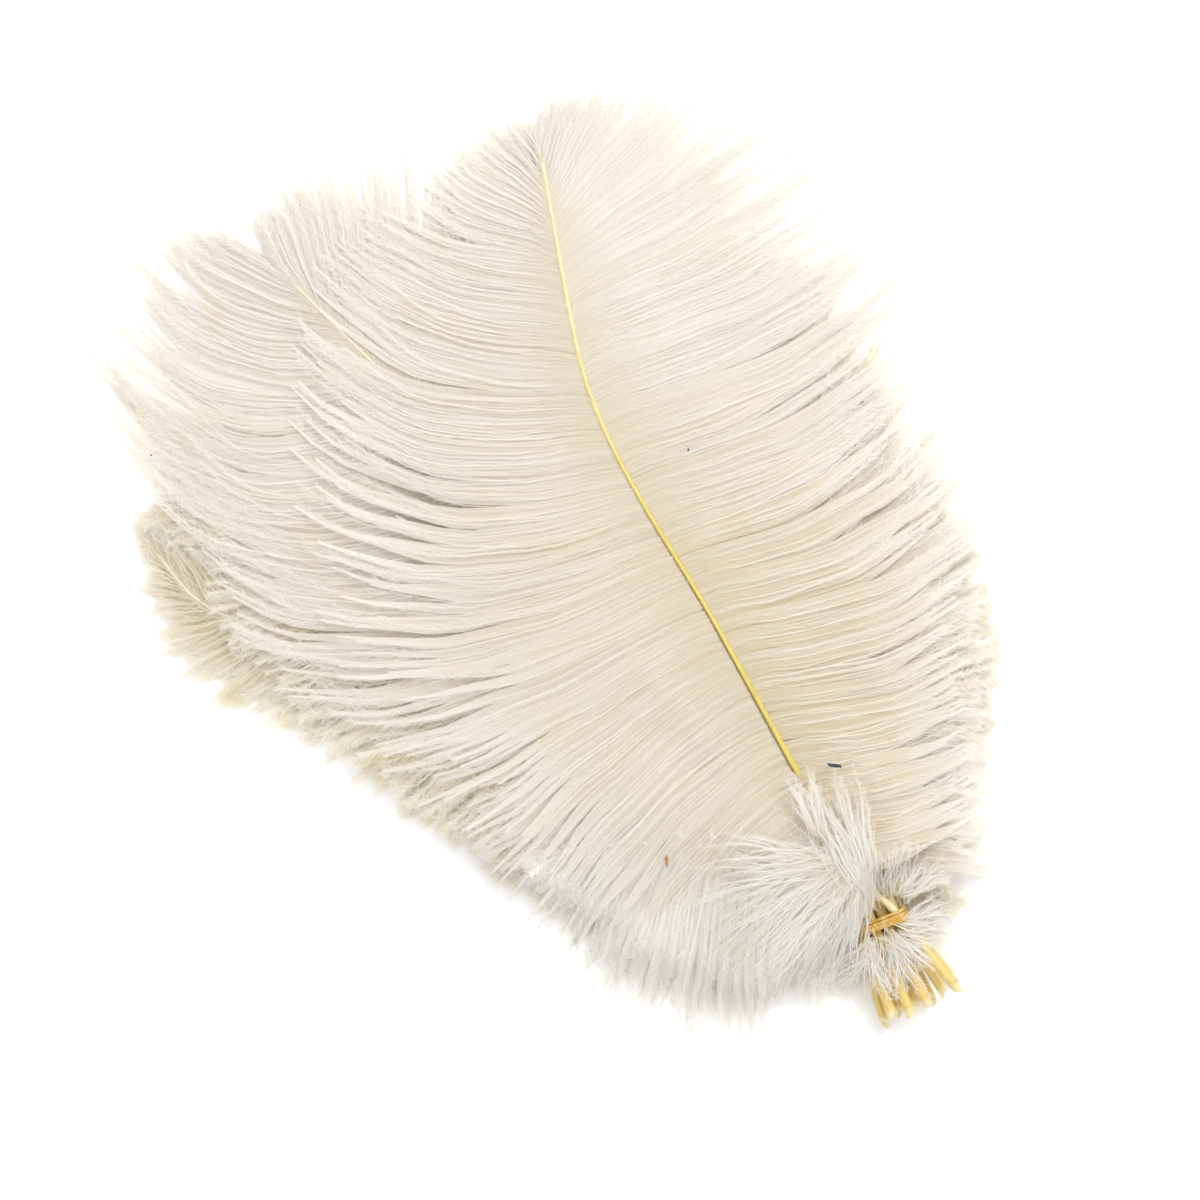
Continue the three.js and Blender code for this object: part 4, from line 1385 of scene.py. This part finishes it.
PLUMES = [
    Plume(
        "plume_centre", Row.LOWER, 3.6, 15,
        ((0, -34), (0, 0), (-2.5, 14), (-18, 45), (-45, 110), (-72, 180), (-88, 225)),
        Vane((100, 94, 84, 70, 14), (-36, -4, 18, 18, 4), (38, 64, 72, 62, 16)),
        Vane((124, 104, 84, 70, 14), (-10, 8, 20, 18, 4), (46, 84, 92, 76, 16)),
        Looks(pitch=1.5, barbules=38_000, tone=0.6, ragged=0.07),
    ),
    Plume(
        "plume_low_right", Row.LOWER, 3.2, 62,
        ((17, -31), (9.6, 0), (12.5, 14), (24, 36), (40, 70), (48, 108), (46, 140)),
        Vane((104, 92, 78, 62, 14), (-6, 10, 22, 20, 4), (44, 50, 48, 36, 14)),
        Vane((122, 98, 86, 70, 14), (4, 16, 26, 22, 4), (28, 37, 40, 34, 14), (1.0, 1.0)),
        Looks(pitch=1.2, barbules=54_000, tone=0.5, depth=0.6, ragged=0.08, start=3.0, base_reach=0.95),
    ),
    Plume(
        "plume_lower_left", Row.LOWER, 3.4, 62,
        ((-13, -36), (-9.6, 0), (-15, 14), (-38, 36), (-80, 70), (-118, 108), (-136, 132)),
        Vane((104, 88, 76, 60, 14), (-12, 2, 8, 14, 4), (28, 29, 29, 26, 12)),
        Vane((108, 96, 84, 66, 14), (-6, 12, 24, 22, 4), (46, 60, 60, 44, 12)),
        Looks(pitch=1.2, barbules=50_000, tone=0.55, depth=0.35, ragged=0.14, start=14.0),
    ),
    Plume(
        "plume_upper_right", Row.LOWER, 3.8, 66,
        ((6.5, -35), (4.8, 0), (6, 14), (12, 50), (24, 140), (26, 200), (20, 248)),
        Vane((108, 92, 78, 62, 14), (-8, 10, 22, 20, 4), (54, 70, 66, 52, 16)),
        Vane((104, 92, 78, 66, 14), (-2, 16, 26, 22, 4), (48, 62, 64, 52, 16)),
        Looks(pitch=1.3, barbules=60_000, depth=0.25, start=12.0),
    ),
    Plume(
        "plume_far_left", Row.LOWER, 3.8, 66,
        (
            (-6.5, -34), (-4.8, 0), (-8, 14), (-30, 40), (-85, 104), (-140, 168), (-181, 206),
            (-192.2, 234.9),
        ),
        Vane((96, 76, 64, 56, 14), (-8, 4, 8, 12, 4), (34, 42, 42, 36, 8), (1.0, 0.9)),
        Vane((104, 88, 80, 66, 14), (-10, 12, 24, 22, 4), (50, 66, 70, 52, 8), (1.0, 0.9)),
        Looks(pitch=1.15, barbules=66_000, tone=0.6, depth=0.35, ragged=0.14),
    ),
    Plume(
        "plume_right", Row.UPPER, 3.6, 66,
        ((11.5, -33), (7.2, 0), (9, 14), (20, 44), (38, 100), (46, 150), (44, 196)),
        Vane((106, 92, 78, 62, 14), (-6, 10, 22, 20, 4), (48, 60, 57, 44, 16)),
        Vane((96, 88, 78, 66, 14), (0, 16, 26, 22, 4), (38, 44, 47, 40, 16)),
        Looks(pitch=1.15, barbules=65_000, tone=0.6, depth=0.6, start=8.0, base_reach=0.8),
    ),
    Plume(
        "plume_left", Row.UPPER, 4.0, 66,
        (
            (-9.5, -33), (-7.2, 0), (-10, 14), (-30, 43), (-86, 122), (-135, 190), (-151, 221),
            (-170.3, 234.2),
        ),
        Vane((100, 84, 72, 60, 14), (-8, 6, 8, 14, 4), (42, 50, 50, 42, 18), (1.0, 0.9)),
        Vane((110, 92, 84, 66, 24), (-10, 12, 36, 84, 50), (60, 82, 84, 74, 26), (1.0, 0.9)),
        Looks(pitch=1.1, barbules=84_000, tone=0.6, depth=0.35, ragged=0.12),
    ),
    Plume(
        "plume_upper_left", Row.UPPER, 4.0, 66,
        ((-3, -35), (-2.4, 0), (-4.6, 14), (-17, 48), (-48, 140), (-80, 240), (-104.7, 305.7)),
        Vane((100, 92, 86, 80, 22), (-12, 26, 76, 94, 20), (64, 92, 125, 127, 34), (1.2, 0.6)),
        Vane((110, 96, 82, 60, 14), (-10, 12, 24, 22, 4), (60, 92, 100, 93, 26), (1.0, 0.3)),
        Looks(pitch=0.9, barbules=110_000, clump=0.26, ragged=0.1, tone=0.78, gap=0.25),
    ),
    Plume(
        "plume_top", Row.UPPER, 4.0, 62,
        (
            (4.2, -34), (2.4, 0), (1, 18), (-5.8, 60.7), (-9.4, 98.6), (-13.1, 136.5), (-18.6, 179.3),
            (-20.4, 212.3), (-17, 243.2), (-0.7, 312.8),
        ),
        Vane(
            (98, 96, 92, 82, 80, 80, 22), (-28, -20, 38, 64, 54, 30, 4), (96, 108, 121, 119, 100, 66, 12),
            (0.75, 0.45),
        ),
        Vane(
            (122, 118, 114, 108, 92, 70, 16), (30, 34, 40, 34, 22, 8, -6), (60, 84, 99, 110, 111, 86, 16),
            (1.2, 0.06),
        ),
        Looks(
            pitch=0.8, barbules=140_000, locks=(5, 9), clump=0.27, crown=0.8, ragged=0.12, tone=0.76,
            depth=0.6, gap=0.36, broad=1.5,
        ),
    ),
    Plume(
        "plume_short", Row.CROWN, 3.2, 27,
        ((16, -33), (7.4, 0), (3.2, 10), (-4, 20), (-19, 39), (-42.4, 53.6), (-68, 64), (-97.6, 72.4)),
        Vane((112, 92, 78, 62, 16), (-8, -14, -4, 8, 4), (48, 68, 66, 46, 12)),
        Vane((40, 34, 30, 26, 14), (20, 20, 16, 12, 4), (12, 9, 5, 4, 3)),
        Looks(
            pitch=0.8, barbules=60_000, clump=0.22, fluff=1.0, ragged=0.12, tone=0.95, depth=0.1,
            start=14.0, gap=0.15, blade=(3.6, 3.0), splay=(20.0, 44.0),
        ),
        (
            Tuft((0.0, 9.0), 15.5, 86, 13, 104, (24, 52), 4, 4, 5.0, 1.5, 0.34, 1.9),
            Tuft((-14, 34), 16.0, 150, 12, 44, (20, 38), 6, 16, 5.0, 1.5, 0.34, 1.9),
            Tuft((-9, 28), 16.0, 178, 18, 68, (30, 58), 8, 22, 6.0, 2.0, 0.34, 1.9),
            Tuft((-5, 21), 16.0, 204, 18, 74, (30, 58), 8, 16, 6.0, 2.0, 0.34, 1.9),
            Tuft((-4, 14), 16.0, 228, 18, 66, (24, 46), 8, 8, 5.0, 2.0, 0.34, 1.9),
            Tuft((-8, 41), 16.0, 82, 10, 36, (14, 24), 6, 6, 3.0, 1.2, 0.34, 1.9),
            Tuft((8, 9), 13.0, 62, 18, 18, (12, 24), 6, 0, 4.0, 1.2, 0.34, 1.9),
            Tuft((-6, -4.5), 15.0, 236, 40, 60, (12, 25), 16, 0, 3.0, 2.0),
            Tuft((2, -5.5), 15.0, 290, 40, 60, (9, 22), 10, 0, 4.0, 2.0),
            Tuft((9, -3.5), 14.0, 335, 40, 50, (8, 19), 10, 0, 3.0, 2.0),
            Tuft((12, 5), 11.0, 30, 40, 36, (10, 22), 10, 0, 4.0, 1.5, 0.4, 2.4),
        ),
        (26.0, 44.0),
    ),
]


def down(name: str, body: Colour, painted_shade_colour: Colour, warm: float) -> DownFinish:
    """A down finish about a body colour, with the colour of its painted shade between strands; warm is the
    share of stained patches.
    """
    return DownFinish(name, body, srgb(249, 244, 231), painted_shade_colour, stain_amount=warm)


def main() -> None:
    """Builds the studio and every piece, and notes the sizes."""
    logging.basicConfig(level=logging.INFO, format="%(message)s")
    Studio().build()
    # the second colour of each down finish is its painted shade between strands and locks
    white = down("down_white", srgb(255, 253, 251), srgb(226, 208, 170), 0.3).material()
    cream = down("down_cream", srgb(250, 245, 231), srgb(218, 202, 156), 0.7).material()
    snow = down("down_snow", srgb(255, 254, 252), srgb(224, 214, 192), 0.05).material()
    # the second colour of each keratin finish is painted shade down the shaft's left side and groove
    gold = KeratinFinish("gold_keratin", srgb(214, 194, 98), srgb(124, 104, 32)).material()
    pale_tip = srgb(248, 242, 220)
    pale = KeratinFinish("pale_keratin", srgb(238, 226, 176), srgb(214, 198, 140), tip=pale_tip).material()
    finishes = {"plume_top": white, "plume_upper_left": white, "plume_right": white, "plume_short": snow}
    pile = Pile(PLUMES)
    plumes = []
    for number, plume in enumerate(PLUMES):
        stem = gold if plume.name == "plume_top" else pale
        made = PlumeMaker(pile, number).build(finishes.get(plume.name, cream), stem)
        log.info("%s: %d faces", made.name, len(made.data.polygons))
        plumes.append(made)
    tie = ThreadTie().build(pile, ThreadFinish().material())
    log.info("%s: %d faces", tie.name, len(tie.data.polygons))
    dark = SpeckFinish("speck_dark", srgb(24, 52, 66), srgb(50, 84, 96))
    rust = SpeckFinish("speck_rust", srgb(168, 96, 52), srgb(196, 140, 96))
    surface = Surface(plumes)
    for speck in (
        Speck("speck_sliver", (7.3, 61.6), (5.4, 1.4, 0.7), -46.0, dark),
        Speck("speck_dot", (5.1, 189.2), (0.9, 0.8, 0.5), 40.0, dark),
        Speck("speck_far_dot", (-178.6, 267.6), (0.7, 0.6, 0.4), 10.0, dark),
        Speck("speck_fleck", (-63.0, 53.6), (4.4, 0.9, 0.6), 60.0, rust),
    ):
        log.info("%s at height %.1f mm", speck.build(surface).name, surface.top(speck.place, speck.REACH))


if __name__ == "__main__":
    main()
